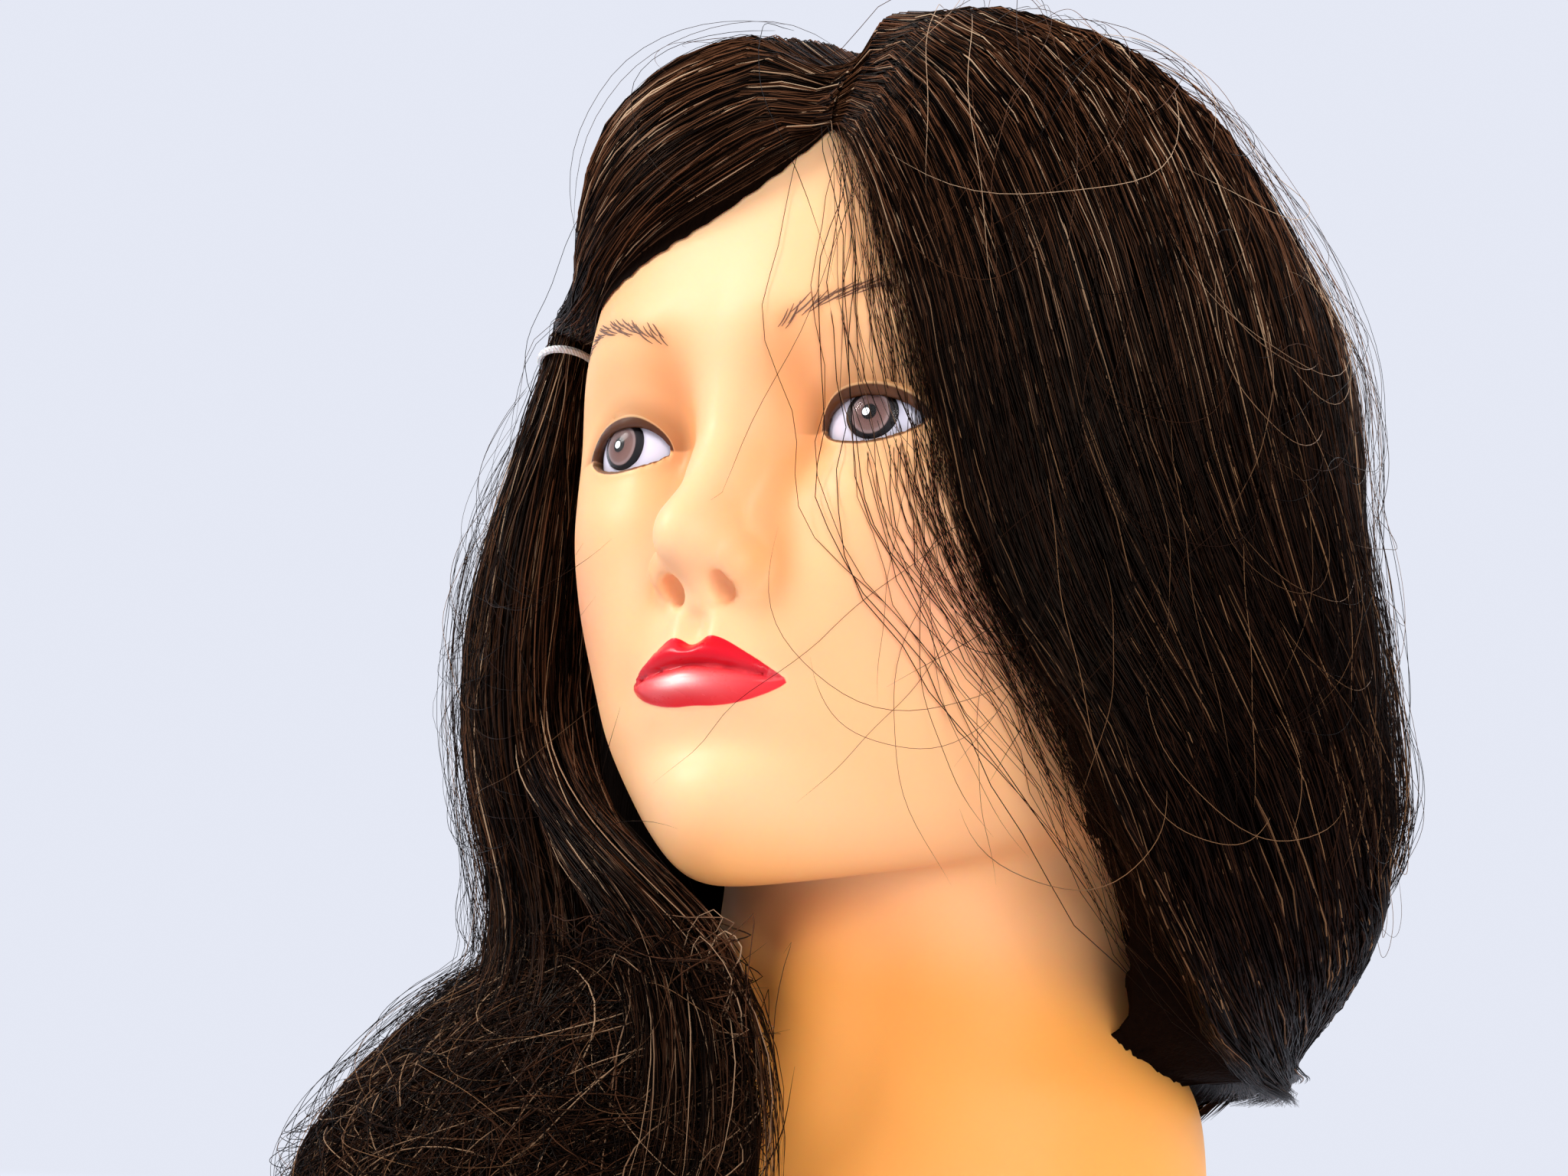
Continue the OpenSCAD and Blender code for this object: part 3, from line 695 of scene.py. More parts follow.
def brow_strokes(side, rng):
    """Fine painted hairs along a brow, as thin blades lying on the skin."""
    points, faces = [], []
    count = 46
    for n in range(count):
        t = n / (count - 1)
        ax = 16.2 + 39.5 * t
        lean = math.radians(56.0 - 46.0 * t ** 0.7 + rng.normal(0.0, 4.0))
        size = 5.4 + 2.2 * math.sin(math.pi * t) + rng.normal(0.0, 0.4)
        drop = rng.uniform(-2.6, 0.2) * (1.0 - 0.55 * t)
        s = np.linspace(0.0, 1.0, 7)
        bend = 0.28 * (s - s * s) * size
        px = side * (ax - 1.2 + size * s * math.cos(lean) + bend * math.sin(lean))
        pz = brow_height(ax) + drop + size * s * math.sin(lean) * 0.9 - bend * math.cos(lean) * 0.6
        pz = pz - np.maximum(0.0, pz - brow_height(np.abs(px)) - 2.4) * 0.7
        line = on_skin(px, pz, 0.03)
        half = 0.18 * (np.sin(np.pi * np.clip(s, 0.04, 0.96)) ** 0.6)
        along = np.gradient(line, axis=0)
        across = np.cross(along, (0.0, -1.0, 0.0))
        across /= np.linalg.norm(across, axis=1, keepdims=True)
        out = np.array([0.0, -0.05, 0.0])
        start = sum(len(block) for block in points)
        points.append(np.concatenate([line + across * half[:, None], line + out,
                                      line - across * half[:, None], line - 2 * out]))
        m = len(s)
        for k in range(4):
            for i in range(m - 1):
                a, b = start + k * m + i, start + ((k + 1) % 4) * m + i
                faces.append((a, b, b + 1, a + 1))
        ends = [start + k * m for k in range(4)]
        faces.append(tuple(ends[::-1]))
        faces.append(tuple(e + m - 1 for e in ends))
    return np.concatenate(points), faces


def turned(profile, centre, towards, segments, wide=1.0):
    """A closed solid of revolution: profile is (radius, reach) pairs, turned about a direction."""
    ahead = np.array(towards, float) / np.linalg.norm(towards)
    side = np.cross(ahead, (0.0, 0.0, 1.0))
    side /= np.linalg.norm(side)
    up = np.cross(side, ahead)
    turn = np.linspace(0, 2 * np.pi, segments, endpoint=False)
    rings = [np.array(centre) + reach * ahead
             + radius * (np.cos(turn)[:, None] * side * wide + np.sin(turn)[:, None] * up)
             for radius, reach in profile]
    n, m = segments, len(profile)
    faces = [(i * n + j, i * n + (j + 1) % n, (i + 1) * n + (j + 1) % n, (i + 1) * n + j)
             for i in range(m - 1) for j in range(n)]
    return np.concatenate(rings), faces, (ahead, side, up)


GAZE_OUT = math.radians(9.0)


def eye_pieces(side, name, paints):
    """The white, the iris and the clear cornea of one eye."""
    centre = np.array([side * EYE_X, -EYE_F, EYE_Z])
    gaze = np.array([side * math.sin(GAZE_OUT), -math.cos(GAZE_OUT), 0.02])
    white, iris, clear = paints
    angles = np.radians(np.linspace(0.4, 88, 70))
    ball_line = [(EYE_R * math.sin(a), EYE_R * math.cos(a)) for a in angles]
    inner = [((EYE_R - 3) * math.sin(a), (EYE_R - 3) * math.cos(a)) for a in angles[::-6]]
    points, faces, _ = turned(ball_line + inner, centre, gaze, 96)
    shell = mesh_object("eye_shell_" + name, points, faces, white)
    x, _, z = points.T
    # Pink tone with painted shade towards the eye's inner corner.
    inward = ramp(side * (CANTHUS_IN + 5.0) - side * x, -3.0, 4.5)
    add_field(shell, "pink_corner_shade", 0.9 * inward)
    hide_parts("eye_shell_" + name)

    wide = 1.09
    edge, curve = 5.55, 9.2
    lift = EYE_R - math.sqrt(EYE_R ** 2 - edge ** 2)
    rise = curve - math.sqrt(curve ** 2 - edge ** 2)
    radii = np.concatenate([np.linspace(0.03, edge, 44), [edge, 0.03]])
    reach = [EYE_R - lift + 0.10 + rise - (curve - math.sqrt(curve ** 2 - r ** 2)) for r in radii[:-2]]
    reach += [EYE_R - lift - 0.4, EYE_R - 2.4]
    points, faces, axes = turned(list(zip(radii, reach)), centre, gaze, 128, wide)
    disc = mesh_object("eye_iris_" + name, points, faces, iris)
    local = points - centre
    right, up = local @ axes[1], local @ axes[2]
    out = np.hypot(right, up)
    add_field(disc, "iris_out", out)
    add_field(disc, "iris_up", up)
    add_field(disc, "dot", np.hypot(local @ np.array([1.0, 0, 0]) - gaze[0] * EYE_R + 0.55, up - 0.05))
    spin = np.arctan2(up, right)
    rays = 0.5 + 0.25 * np.sin(37 * spin + 3 * np.sin(5 * spin)) + 0.25 * np.sin(61 * spin)
    add_field(disc, "streak", rays * hill(out - 2.6, 1.2))
    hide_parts("eye_iris_" + name)

    radii = np.linspace(0.03, edge + 0.25, 30)
    top = [EYE_R - lift + 0.28 + rise - (curve - math.sqrt(curve ** 2 - r ** 2)) for r in radii]
    under = [reach_top - 0.12 for reach_top in top][::-1]
    points, faces, _ = turned(list(zip(radii, top)) + list(zip(radii[::-1], under)), centre, gaze, 96, wide)
    dome = mesh_object("eye_cornea_" + name, points, faces, clear)
    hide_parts("eye_cornea_" + name)
    for piece in (shell, disc, dome):
        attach(piece, "root")


def face():
    points, quads = head_skin()
    skin = mesh_object("vinyl_skin_face", points, quads, skin_paint())
    paint_face(skin, points)
    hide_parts("vinyl_skin")
    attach(skin, "root")
    rng = np.random.default_rng(5)
    stroke = Paint("brow_stroke").set(Base_Color=(0.16, 0.062, 0.026), Roughness=0.45)
    for side, name in ((1, "left"), (-1, "right")):
        points, faces = brow_strokes(side, rng)
        brow = mesh_object("brow_strokes_" + name, points, np.array(faces), stroke.material)
        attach(brow, "root")
        eye_pieces(side, name, paints_of_eye())


def paints_of_eye():
    names = ("eye_white", "eye_iris", "eye_cornea")
    makers = (eye_white_paint, iris_paint, cornea_paint)
    return [bpy.data.materials.get(n) or make() for n, make in zip(names, makers)]


# ---------------------------------------------------------------------------------------------
# Hair
# ---------------------------------------------------------------------------------------------
# A place on the hair is an angle a in degrees from the face towards the head's left, and a height t
# in mm that turns into an elevation over the crown: T_PER_DEGREE of t for each degree above T_BEND.

T_BEND, T_PER_DEGREE = 200.0, 1.6
HAIR_NODES = sorted(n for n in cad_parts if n.startswith("hair_") and n != "hair_tie")


def to_xyz(a, t, r):
    turn = np.radians(a)
    rise = np.radians(np.maximum(t - T_BEND, 0.0) / T_PER_DEGREE)
    flat = r * np.cos(rise)
    return np.stack([flat * np.sin(turn), -flat * np.cos(turn), np.minimum(t, T_BEND) + r * np.sin(rise)], -1)


def to_polar(points):
    x, y, z = points[..., 0], points[..., 1], points[..., 2]
    flat = np.hypot(x, y)
    over = np.maximum(z - T_BEND, 0.0)
    t = np.where(z < T_BEND, z, T_BEND + T_PER_DEGREE * np.degrees(np.arctan2(over, flat)))
    return np.degrees(np.arctan2(x, -y)), t, np.hypot(flat, over)


def cad_tree(names):
    points, faces = [], []
    for name in names:
        piece = bpy.data.objects[name]
        start = len(points)
        points += [piece.matrix_world @ v.co / MM for v in piece.data.vertices]
        faces += [[start + n for n in p.vertices] for p in piece.data.polygons]
    return BVHTree.FromPolygons(points, faces)


class RadiusMap:
    """The outermost radius of some CAD nodes, by angle and height, with the gaps filled in."""

    A_STEP, T_STEP = 4.0, 4.0

    def __init__(self, names, soften):
        tree = cad_tree(names)
        self.t0, count_t = 2.0, 87
        count_a = int(360 / self.A_STEP)
        grid = np.full((count_t, count_a), np.nan)
        for i in range(count_t):
            for j in range(count_a):
                grid[i, j] = self.reach(tree, -180.0 + j * self.A_STEP, self.t0 + i * self.T_STEP)
        known = ~np.isnan(grid)
        filled = np.where(known, grid, np.nanmean(grid))
        for _ in range(160):
            filled = np.where(known, grid, self.blur(filled))
        for _ in range(soften):
            filled = 0.5 * filled + 0.5 * self.blur(filled)
        self.grid = filled

    @staticmethod
    def blur(g):
        up = np.vstack([g[:1], g[:-1]])
        down = np.vstack([g[1:], g[-1:]])
        return 0.25 * (up + down + np.roll(g, 1, 1) + np.roll(g, -1, 1))

    @staticmethod
    def reach(tree, a, t):
        """Distance from the axis to the outermost hit of a ray that comes in from outside."""
        outer = Vector(to_xyz(np.array(a), np.array(t), np.array(400.0)))
        inner = Vector((0.0, 0.0, min(t, T_BEND)))
        hit = tree.ray_cast(outer, (inner - outer).normalized(), 399.0)
        return 400.0 - hit[3] if hit[0] else float("nan")

    def __call__(self, a, t):
        rows, columns = self.grid.shape
        i = np.clip((t - self.t0) / self.T_STEP, 0, rows - 1.001)
        j = ((a + 180.0) / self.A_STEP) % columns
        i0, j0 = i.astype(int), j.astype(int)
        fi, fj = i - i0, j - j0
        j1 = (j0 + 1) % columns
        low = self.grid[i0, j0] * (1 - fj) + self.grid[i0, j1] * fj
        high = self.grid[i0 + 1, j0] * (1 - fj) + self.grid[i0 + 1, j1] * fj
        return low * (1 - fi) + high * fi


def smooth_along(paths, reach):
    """Rounds off the corners of many paths at once, keeping their ends."""
    for _ in range(reach):
        middle = 0.25 * paths[:, :-2] + 0.5 * paths[:, 1:-1] + 0.25 * paths[:, 2:]
        paths = np.concatenate([paths[:, :1], middle, paths[:, -1:]], 1)
    return paths


def resample(paths, start, stop, count):
    """The part of each path from start to stop (shares of its length), in count points."""
    steps = np.linalg.norm(np.diff(paths, axis=1), axis=2)
    run = np.concatenate([np.zeros((len(paths), 1)), np.cumsum(steps, 1)], 1)
    out = np.empty((len(paths), count, 3))
    for n in range(len(paths)):
        wanted = run[n, -1] * np.linspace(start[n], stop[n], count)
        for k in range(3):
            out[n, :, k] = np.interp(wanted, run[n], paths[n, :, k])
    return out


PARTING_Y = [-87.0, -70.0, -52.0, -25.0, 20.0, 50.0]
PARTING_X = [18.0, 6.0, -3.0, -4.0, -3.0, 0.0]

# For each section: the heights t that its strands pass, and at shares of its width the angles there.
LEFT_T = [250, 238, 215, 184, 150, 120, 97, 80, 68, 60, 53, 47]
LEFT_A = {0.0: [11, 17, 24, 29, 35, 49, 56, 62, 70, 79, 92, 122],
          0.25: [42, 44, 51, 58, 68, 80, 89, 97, 108, 124, 150, 184],
          0.5: [84, 84, 88, 93, 101, 110, 120, 132, 148, 168, 194, 220],
          0.75: [125, 126, 128, 131, 136, 142, 152, 165, 184, 206, 228, 248],
          1.0: [176, 178, 178, 178, 178, 181, 188, 200, 216, 232, 248, 262]}
# How far round the curtain's inmost strands lie behind its outer edge, as they close in on the neck
LEAN_T, LEAN_A = [50, 66, 83, 102, 120, 150], [34, 28, 19, 8, 3, 0]
RIGHT_T = [262, 243, 215, 184, 150, 120, 95, 75, 60, 40, 20]
RIGHT_A = {0.0: [-58, -68, -79, -83, -84, -84, -82, -79, -75, -70, -64],
           0.33: [-94, -96, -99, -100, -100, -99, -97, -94, -90, -84, -76],
           0.66: [-130, -131, -131, -130, -129, -127, -123, -117, -110, -101, -90],
           1.0: [-180, -179, -178, -177, -175, -171, -165, -155, -143, -128, -112]}
# The fringe sweeps over the forehead to the tie: its strands pass these angles at shares of its width.
FRINGE_A = [10, 4, -3, -11, -21, -33, -46, -55, -59.5, -60]
FRINGE_T = {0.0: [249, 240, 234, 229, 223, 219, 220, 226, 225, 208],
            0.35: [263, 257, 250, 243, 235, 229, 226, 228, 226, 208],
            0.7: [281, 277, 270, 262, 250, 239, 233, 231, 227, 208],
            1.0: [294, 290, 283, 277, 265, 252, 242, 235, 229, 208]}
# Where the fringe runs into the tie: angle, height, distance from the axis and half the bundle's depth
TIE = (-60.0, 220.0, 104.0, 5.4)
# The lock under the tie: height, angle and distance of its middle, half its width and half its depth
LOCK = [(220, -60, 104.0, 10.5, 5.4), (212, -60.5, 104, 12, 6.8), (200, -62, 104, 15, 9), (175, -63, 107, 19, 13),
        (145, -62, 108, 21, 15), (118, -59, 104, 22, 14), (95, -55, 95, 24, 14), (75, -50, 90, 27, 14),
        (58, -46, 92, 30, 16), (40, -44, 100, 34, 18), (22, -42, 108, 38, 20), (8, -42, 112, 40, 22)]
# The bundle held by the tie, in the same terms; where the distance is 0 it lies just under the hair
TIED = [(272, -54, 0, 16, 2.5), (256, -57, 0, 14, 3.5), (242, -59, 0, 12.5, 4.5), (232, -60, 0, 12, 5.2),
        (226, -60, 105.0, 11.8, 5.8), (220, -60, 104.0, 11.8, 5.8), (214, -60.2, 103.6, 12, 6.2),
        (206, -61, 103.5, 13, 7.8), (190, -62, 104.5, 16, 10), (168, -63, 106, 19, 12.5), (145, -62, 108, 20, 14)]
# The hair in front of it that crosses the neck under the jaw
FRONT_LOCK = [(168, -67, 99, 6, 9), (140, -61, 98, 9, 9), (118, -50, 95, 12, 9), (101, -35, 91, 14, 8),
              (87, -22, 87, 16, 8), (73, -11, 84, 17, 8), (58, -5, 83, 18, 8), (42, -2, 84, 19, 9),
              (24, -1, 85, 20, 10), (8, -2, 88, 22, 12)]


def angles_at(table, u):
    shares = sorted(table)
    rows = np.array([table[s] for s in shares], float)
    return np.stack([np.interp(u, shares, rows[:, k]) for k in range(rows.shape[1])], 1)


def parting(s):
    """Points on the scalp along the parting, for s from 0 at the forehead to 1 at the crown."""
    y = -82.0 + 126.0 * s
    x = np.interp(y, PARTING_Y, PARTING_X)
    z = T_BEND + np.sqrt(np.maximum(1.0 - (x / 77) ** 2 - (y / 102.5) ** 2, 0.1)) * 93.5
    return np.stack([x, y, z], 1)


def parting_gap(points):
    """Distance sideways from the parting, large where there is none."""
    x, y, z = points[..., 0], points[..., 1], points[..., 2]
    gap = np.abs(x - np.interp(y, PARTING_Y, PARTING_X))
    return gap + 60.0 * ramp(y, 18.0, 55.0) + 60.0 * (1.0 - ramp(z, 236.0, 250.0))


def comb_parting(outer, scalp):
    """Draws the outer hair down to the scalp along the parting."""
    rows, columns = outer.grid.shape
    t = outer.t0 + outer.T_STEP * np.arange(rows)[:, None]
    a = -180.0 + outer.A_STEP * np.arange(columns)[None, :]
    skin = scalp(a + 0 * t, t + 0 * a)
    gap = parting_gap(to_xyz(a + 0 * t, t + 0 * a, skin))
    limit = skin + 4.2 + 5.0 * ramp(gap, 0.0, 13.0) + 1.5 * np.maximum(gap - 8.0, 0.0)
    outer.grid = np.minimum(outer.grid, limit)


def slim_side(outer):
    """Combs the hair closer over the left ear, where the strands puff out."""
    rows, columns = outer.grid.shape
    t = outer.t0 + outer.T_STEP * np.arange(rows)[:, None]
    a = -180.0 + outer.A_STEP * np.arange(columns)[None, :]
    outer.grid = outer.grid - 4.5 * hill(a - 112, 32) * hill(t - 145, 42)


class Coat:
    """Lays strands over the head along tables of angles, between the scalp and the outer hair."""

    SAMPLES = 8

    def __init__(self, outer, scalp):
        self.outer, self.scalp = outer, scalp

    def guide(self, levels, table, u, root_share, across=False):
        a = angles_at(table, u)
        t = np.broadcast_to(np.array(levels, float), a.shape)
        if across:
            a, t = t, a
        lane = to_xyz(a, t, self.outer(a, t))
        path = np.concatenate([parting(root_share)[:, None], lane], 1)
        fine = np.concatenate([path[:, :-1, None] * (1 - w) + path[:, 1:, None] * w
                               for w in (np.arange(self.SAMPLES) / self.SAMPLES,)
                               for w in (w[None, None, :, None],)], 1)
        fine = fine.reshape(len(u), -1, 3)
        return smooth_along(fine, 26)

    def strands(self, rng, levels, table, u, root, start, stop, depth, count=24,
                clumps=60, gather=0.6, wave=2.0, frizz=0.5, across=False, reach=380.0, through=None,
                into=None):
        """Strands at shares u of a section. depth is mm under the outer surface for each strand."""
        centres = np.sort(rng.uniform(u.min(), u.max(), clumps))
        near = np.abs(u[:, None] - centres[None, :]).argmin(1)
        near = np.clip(near + rng.integers(-1, 2, len(u)), 0, clumps - 1)
        own = resample(self.guide(levels, table, u, root, across), start, stop, count)
        lead = resample(self.guide(levels, table, centres[near], root, across), start, stop, count)
        share = np.linspace(0.0, 1.0, count)[None, :] * (stop - start)[:, None] + start[:, None]
        pull = (gather * ramp(share, 0.05, 0.9))[..., None]
        path = own * (1 - pull) + lead * pull
        a, t, _ = to_polar(path)
        length = share * reach
        phase = rng.uniform(0, 6.28, clumps)[near][:, None]
        period = rng.uniform(60, 110, clumps)[near][:, None]
        mine = rng.uniform(0, 6.28, (len(u), 1))
        own_period = rng.uniform(22, 60, (len(u), 1))
        grow = 0.25 + 0.75 * share
        sway = wave * grow * np.sin(6.28 * length / period + phase)
        sway = sway + frizz * grow * np.sin(6.28 * length / own_period + mine)
        level = self.outer(a, t)
        floor = self.scalp(a, t) + 0.7
        heave = 0.7 * wave * grow * np.cos(6.28 * length / period * 1.3 + phase) - 0.6 * wave
        r = level + 1.0 - depth[:, None] + heave + 0.5 * frizz * np.cos(6.28 * length / own_period + mine)
        if through is not None:
            share_out = through[:, None]
            r = floor + share_out * (level + 1.5 - floor) + heave * share_out
            if not across:
                a = a + (1.0 - share_out) * np.interp(t, LEAN_T, LEAN_A)
        r = np.maximum(r, floor)
        if into:
            nearness = ramp(-a, -into[0] - 26.0, -into[0] - 3.0)
            turn, size = rng.uniform(0, 6.28, (len(u), 1)), rng.random((len(u), 1)) ** 0.5
            bundle = into[2] + into[3] * size * np.sin(turn)
            r = r * (1.0 - nearness) + np.maximum(bundle, floor) * nearness
            a = a + 5.4 * size * np.cos(turn) * nearness
        rise = ramp(share * reach, 0.0, 15.0)
        r = floor * (1 - rise) + r * rise
        a = a + np.degrees(sway / np.maximum(r * np.cos(np.radians(np.maximum(t - T_BEND, 0) / 1.6)), 25.0))
        path = to_xyz(a, t, r)
        path[..., 2] = np.maximum(path[..., 2], 0.6)
        return path


def clear_of_skin(paths, gap=0.7):
    """Moves the points that would lie in the face or neck out to a gap over the skin."""
    points = paths.reshape(-1, 3).copy()
    near = np.flatnonzero((points[:, 1] < -20.0) & (np.hypot(points[:, 0], points[:, 1]) < 125.0))
    for _ in range(2):
        x, y, z = points[near].T
        lack = np.maximum(gap - head_field(x, y, z), 0.0)
        out = np.stack([x, y, 0 * x], 1) / np.maximum(np.hypot(x, y), 1.0)[:, None]
        points[near] += lack[:, None] * out
    return points.reshape(paths.shape)


def strand_pieces(name, node, paths, thick, tone, material, limit=1350):
    """Closed three-sided strands, tapered at both ends, in pieces of at most limit strands."""
    made = []
    paths = clear_of_skin(paths)
    parts = max(1, math.ceil(len(paths) / limit))
    for part in range(parts):
        chosen = slice(part, None, parts)
        p, width, shade = paths[chosen], thick[chosen], tone[chosen]
        m, n = p.shape[:2]
        along = np.gradient(p, axis=1)
        out = p * np.array([1.0, 1.0, 0.0]) + np.array([0.0, 0.0, 4.0])
        side = np.cross(along, out)
        side /= np.maximum(np.linalg.norm(side, axis=2, keepdims=True), 1e-9)
        up = np.cross(side, along)
        up /= np.maximum(np.linalg.norm(up, axis=2, keepdims=True), 1e-9)
        share = np.linspace(0.0, 1.0, n)
        taper = np.minimum(1.0, np.minimum(0.45 + share * 9.0, 0.12 + (1.0 - share) * 5.0))
        r = width[:, None] * taper[None, :]
        ring = [p + r[..., None] * (math.cos(q) * side + math.sin(q) * up)
                for q in (math.pi / 2, math.pi * 7 / 6, math.pi * 11 / 6)]
        points = np.stack(ring, 2).reshape(-1, 3)
        base = (np.arange(m)[:, None] * n + np.arange(n - 1)[None, :]).ravel() * 3
        faces = []
        for k in range(3):
            k1 = (k + 1) % 3
            a, b, c, d = base + k, base + k1, base + 3 + k1, base + 3 + k
            faces += [np.stack([a, b, c], 1), np.stack([a, c, d], 1)]
        first = np.arange(m) * n * 3
        last = first + (n - 1) * 3
        faces += [np.stack([first, first + 2, first + 1], 1), np.stack([last, last + 1, last + 2], 1)]
        piece = mesh_object(f"{name}_{part + 1}", points, np.concatenate(faces), material)
        add_field(piece, "tone", np.repeat(shade, n * 3))
        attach(piece, "root")
        made.append(piece)
    if node:
        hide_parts(node)
    return made


def hair_paint(name="hair_strands", low=0.17, high=0.29):
    p = Paint(name)
    p.set(Roughness=0.33, IOR=1.14, Specular_Tint=(1.0, 0.80, 0.64))
    tone = p.field("tone")
    height = p.nodes.new("ShaderNodeSeparateXYZ")
    p.links.new(p.place(), height.inputs["Vector"])
    # Painted light: strands turn lighter and more golden towards the top of the head, where the light falls; the
    # random tone of each strand is its own.
    top = p.step(height.outputs["Z"], low, high)
    fibre = p.mix(top, (0.026, 0.009, 0.004), (0.230, 0.090, 0.040))
    colour = p.mix(p.step(tone, 0.2, 0.85), (0.0014, 0.0003, 0.0002), fibre)
    bright = p.mix(top, (0.20, 0.10, 0.045), (0.70, 0.48, 0.30))
    colour = p.mix(p.step(tone, 0.86, 1.0), colour, bright)
    p.join(colour, "Base Color")
    return p.material


def under_paint():
    # Painted shade: the hair's dark brown taken to near black, as in the depths between the strands.
    p = Paint("hair_under")
    p.set(Roughness=0.7, IOR=1.08)
    grain = p.noise(1.0, 4.0, p.stretched(900.0, 900.0, 60.0))
    p.join(p.mix(grain, (0.0012, 0.0004, 0.0002), (0.008, 0.003, 0.0013)), "Base Color")
    p.bump(grain, 0.7, 0.0008)
    return p.material


def edge_gap(node, a, t, r):
    """Distance in mm into the fringe or the curtain from its free edge, large elsewhere."""
    if node == "hair_fringe_right":
        order = np.argsort(FRINGE_A)
        edge = np.interp(a, np.array(FRINGE_A)[order], np.array(FRINGE_T[0.0])[order])
        return t - edge
    if node == "hair_front_left":
        edge = np.interp(t, LEFT_T[::-1], LEFT_A[0.0][::-1])
        return np.radians(a - edge) * r
    gap = np.full(len(a), 99.0)
    if node in ("hair_side_left", "hair_back", "hair_nape_sweep"):
        edge = np.interp(t, LEFT_T[::-1], LEFT_A[0.0][::-1]) - 2.0
        front = (a > 0) & (a < 150) & (t < 170)
        gap[front] = (np.radians(a - edge) * r)[front]
    return gap


def under_hair(node, material, shrink, outer, scalp):
    """A combed layer beneath the strands: the CAD volume drawn in, with ridges along its fall."""
    source = bpy.data.objects[node]
    piece = bpy.data.objects.new(node + "_under", source.data.copy())
    piece.matrix_world = source.matrix_world.copy()
    bpy.context.scene.collection.objects.link(piece)
    remesh = piece.modifiers.new("even", "REMESH")
    remesh.mode = "VOXEL"
    remesh.voxel_size = 0.0028
    smooth = piece.modifiers.new("soft", "SMOOTH")
    smooth.iterations = 5
    bpy.context.view_layer.update()
    made = bpy.data.meshes.new_from_object(piece.evaluated_get(bpy.context.evaluated_depsgraph_get()))
    piece.modifiers.clear()
    piece.data = made
    count = len(made.vertices)
    co, normal = np.empty(count * 3), np.empty(count * 3)
    made.vertices.foreach_get("co", co)
    made.vertices.foreach_get("normal", normal)
    co, normal = co.reshape(-1, 3), normal.reshape(-1, 3)
    a, t, _ = to_polar(co / MM)
    ridges = np.sin(a * 1.9 + 0.02 * t) + 0.6 * np.sin(a * 4.3 + 0.05 * t)
    inwards = shrink if "pile" in node or "lock" in node else 0.6
    co = co / MM + normal * (0.35 * ridges - inwards)[:, None]
    a, t, r = to_polar(co)
    if "pile" not in node and "lock" not in node:
        near_parting = 1.0 - ramp(parting_gap(co), 6.0, 30.0)
        skin = scalp(a, t)
        limit = outer(a, t) - shrink - 2.5 * near_parting
        gap = edge_gap(node, a, t, r)
        limit = np.minimum(limit, skin + 0.6 + 1.3 * np.maximum(gap, 0.0))
        r = np.minimum(r, np.maximum(limit, skin + 0.6))
        buried = (gap < 0.0) & (node not in ("hair_fringe_right", "hair_front_left"))
        r = np.where(buried, np.minimum(r, skin - 3.0), r)
        co = to_xyz(a, t, r)
        co = np.where(buried[:, None], co, clear_of_skin(co, 0.5))
    co = co * MM
    made.vertices.foreach_set("co", co.ravel())
    made.polygons.foreach_set("use_smooth", np.ones(len(made.polygons), bool))
    made.materials.clear()
    made.materials.append(material)
    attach(piece, "root")
    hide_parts(node)
    return piece


def tones(rng, count, bright=0.05):
    tone = rng.beta(1.6, 2.6, count) * 0.85
    return np.where(rng.random(count) < bright, rng.uniform(0.9, 1.0, count), tone)


def lock_strands(rng, rows, count, points, soft=22):
    """Strands side by side through a lock, whose rows say where its middle runs and how thick it is."""
    t, a, r, wide, deep = np.array(rows, float).T
    middle = to_xyz(a, t, r)
    across = np.stack([np.cos(np.radians(a)), np.sin(np.radians(a)), 0 * a], 1)
    outward = np.stack([np.sin(np.radians(a)), -np.cos(np.radians(a)), 0 * a], 1)
    turn = rng.uniform(0, 6.28, count)
    spread = rng.random(count) ** 0.36
    groups = rng.integers(0, 40, count)
    turn = turn + 0.35 * (np.linspace(0, 6.28, 40)[groups] - turn)
    twist = np.linspace(0, 0.5, len(rows))[None, :] * rng.normal(1.0, 0.5, (count, 1))
    angle = turn[:, None] + twist
    u = (np.cos(angle) * spread[:, None]) * wide[None, :]
    w = (np.sin(angle) * spread[:, None]) * deep[None, :]
    path = middle[None] + u[..., None] * across[None] + w[..., None] * outward[None]
    steps = 8
    fine = [path[:, :-1] * (1 - k / steps) + path[:, 1:] * (k / steps) for k in range(steps)]
    fine = np.stack(fine, 2).reshape(count, -1, 3)
    fine = smooth_along(np.concatenate([fine, path[:, -1:]], 1), soft)
    start = np.where(rng.random(count) < 0.8, 0.0, rng.uniform(0, 0.3, count))
    out = resample(fine, start, rng.uniform(0.72, 1.0, count), points)
    share = np.linspace(0, 1, points)[None, :]
    for k in range(3):
        phase = rng.uniform(0, 6.28, (count, 1))
        group_phase = rng.uniform(0, 6.28, 40)[groups][:, None]
        sway = 0.5 * np.sin(share * rng.uniform(8, 22, (count, 1)) + phase)
        sway = sway + 2.2 * share * np.sin(share * rng.uniform(6, 12, 40)[groups][:, None] + group_phase)
        out[..., k] += sway * np.minimum(1.0, share * 8) * (0.4 if k == 2 else 1.0)
    out[..., 2] = np.maximum(out[..., 2], 0.7)
    return out


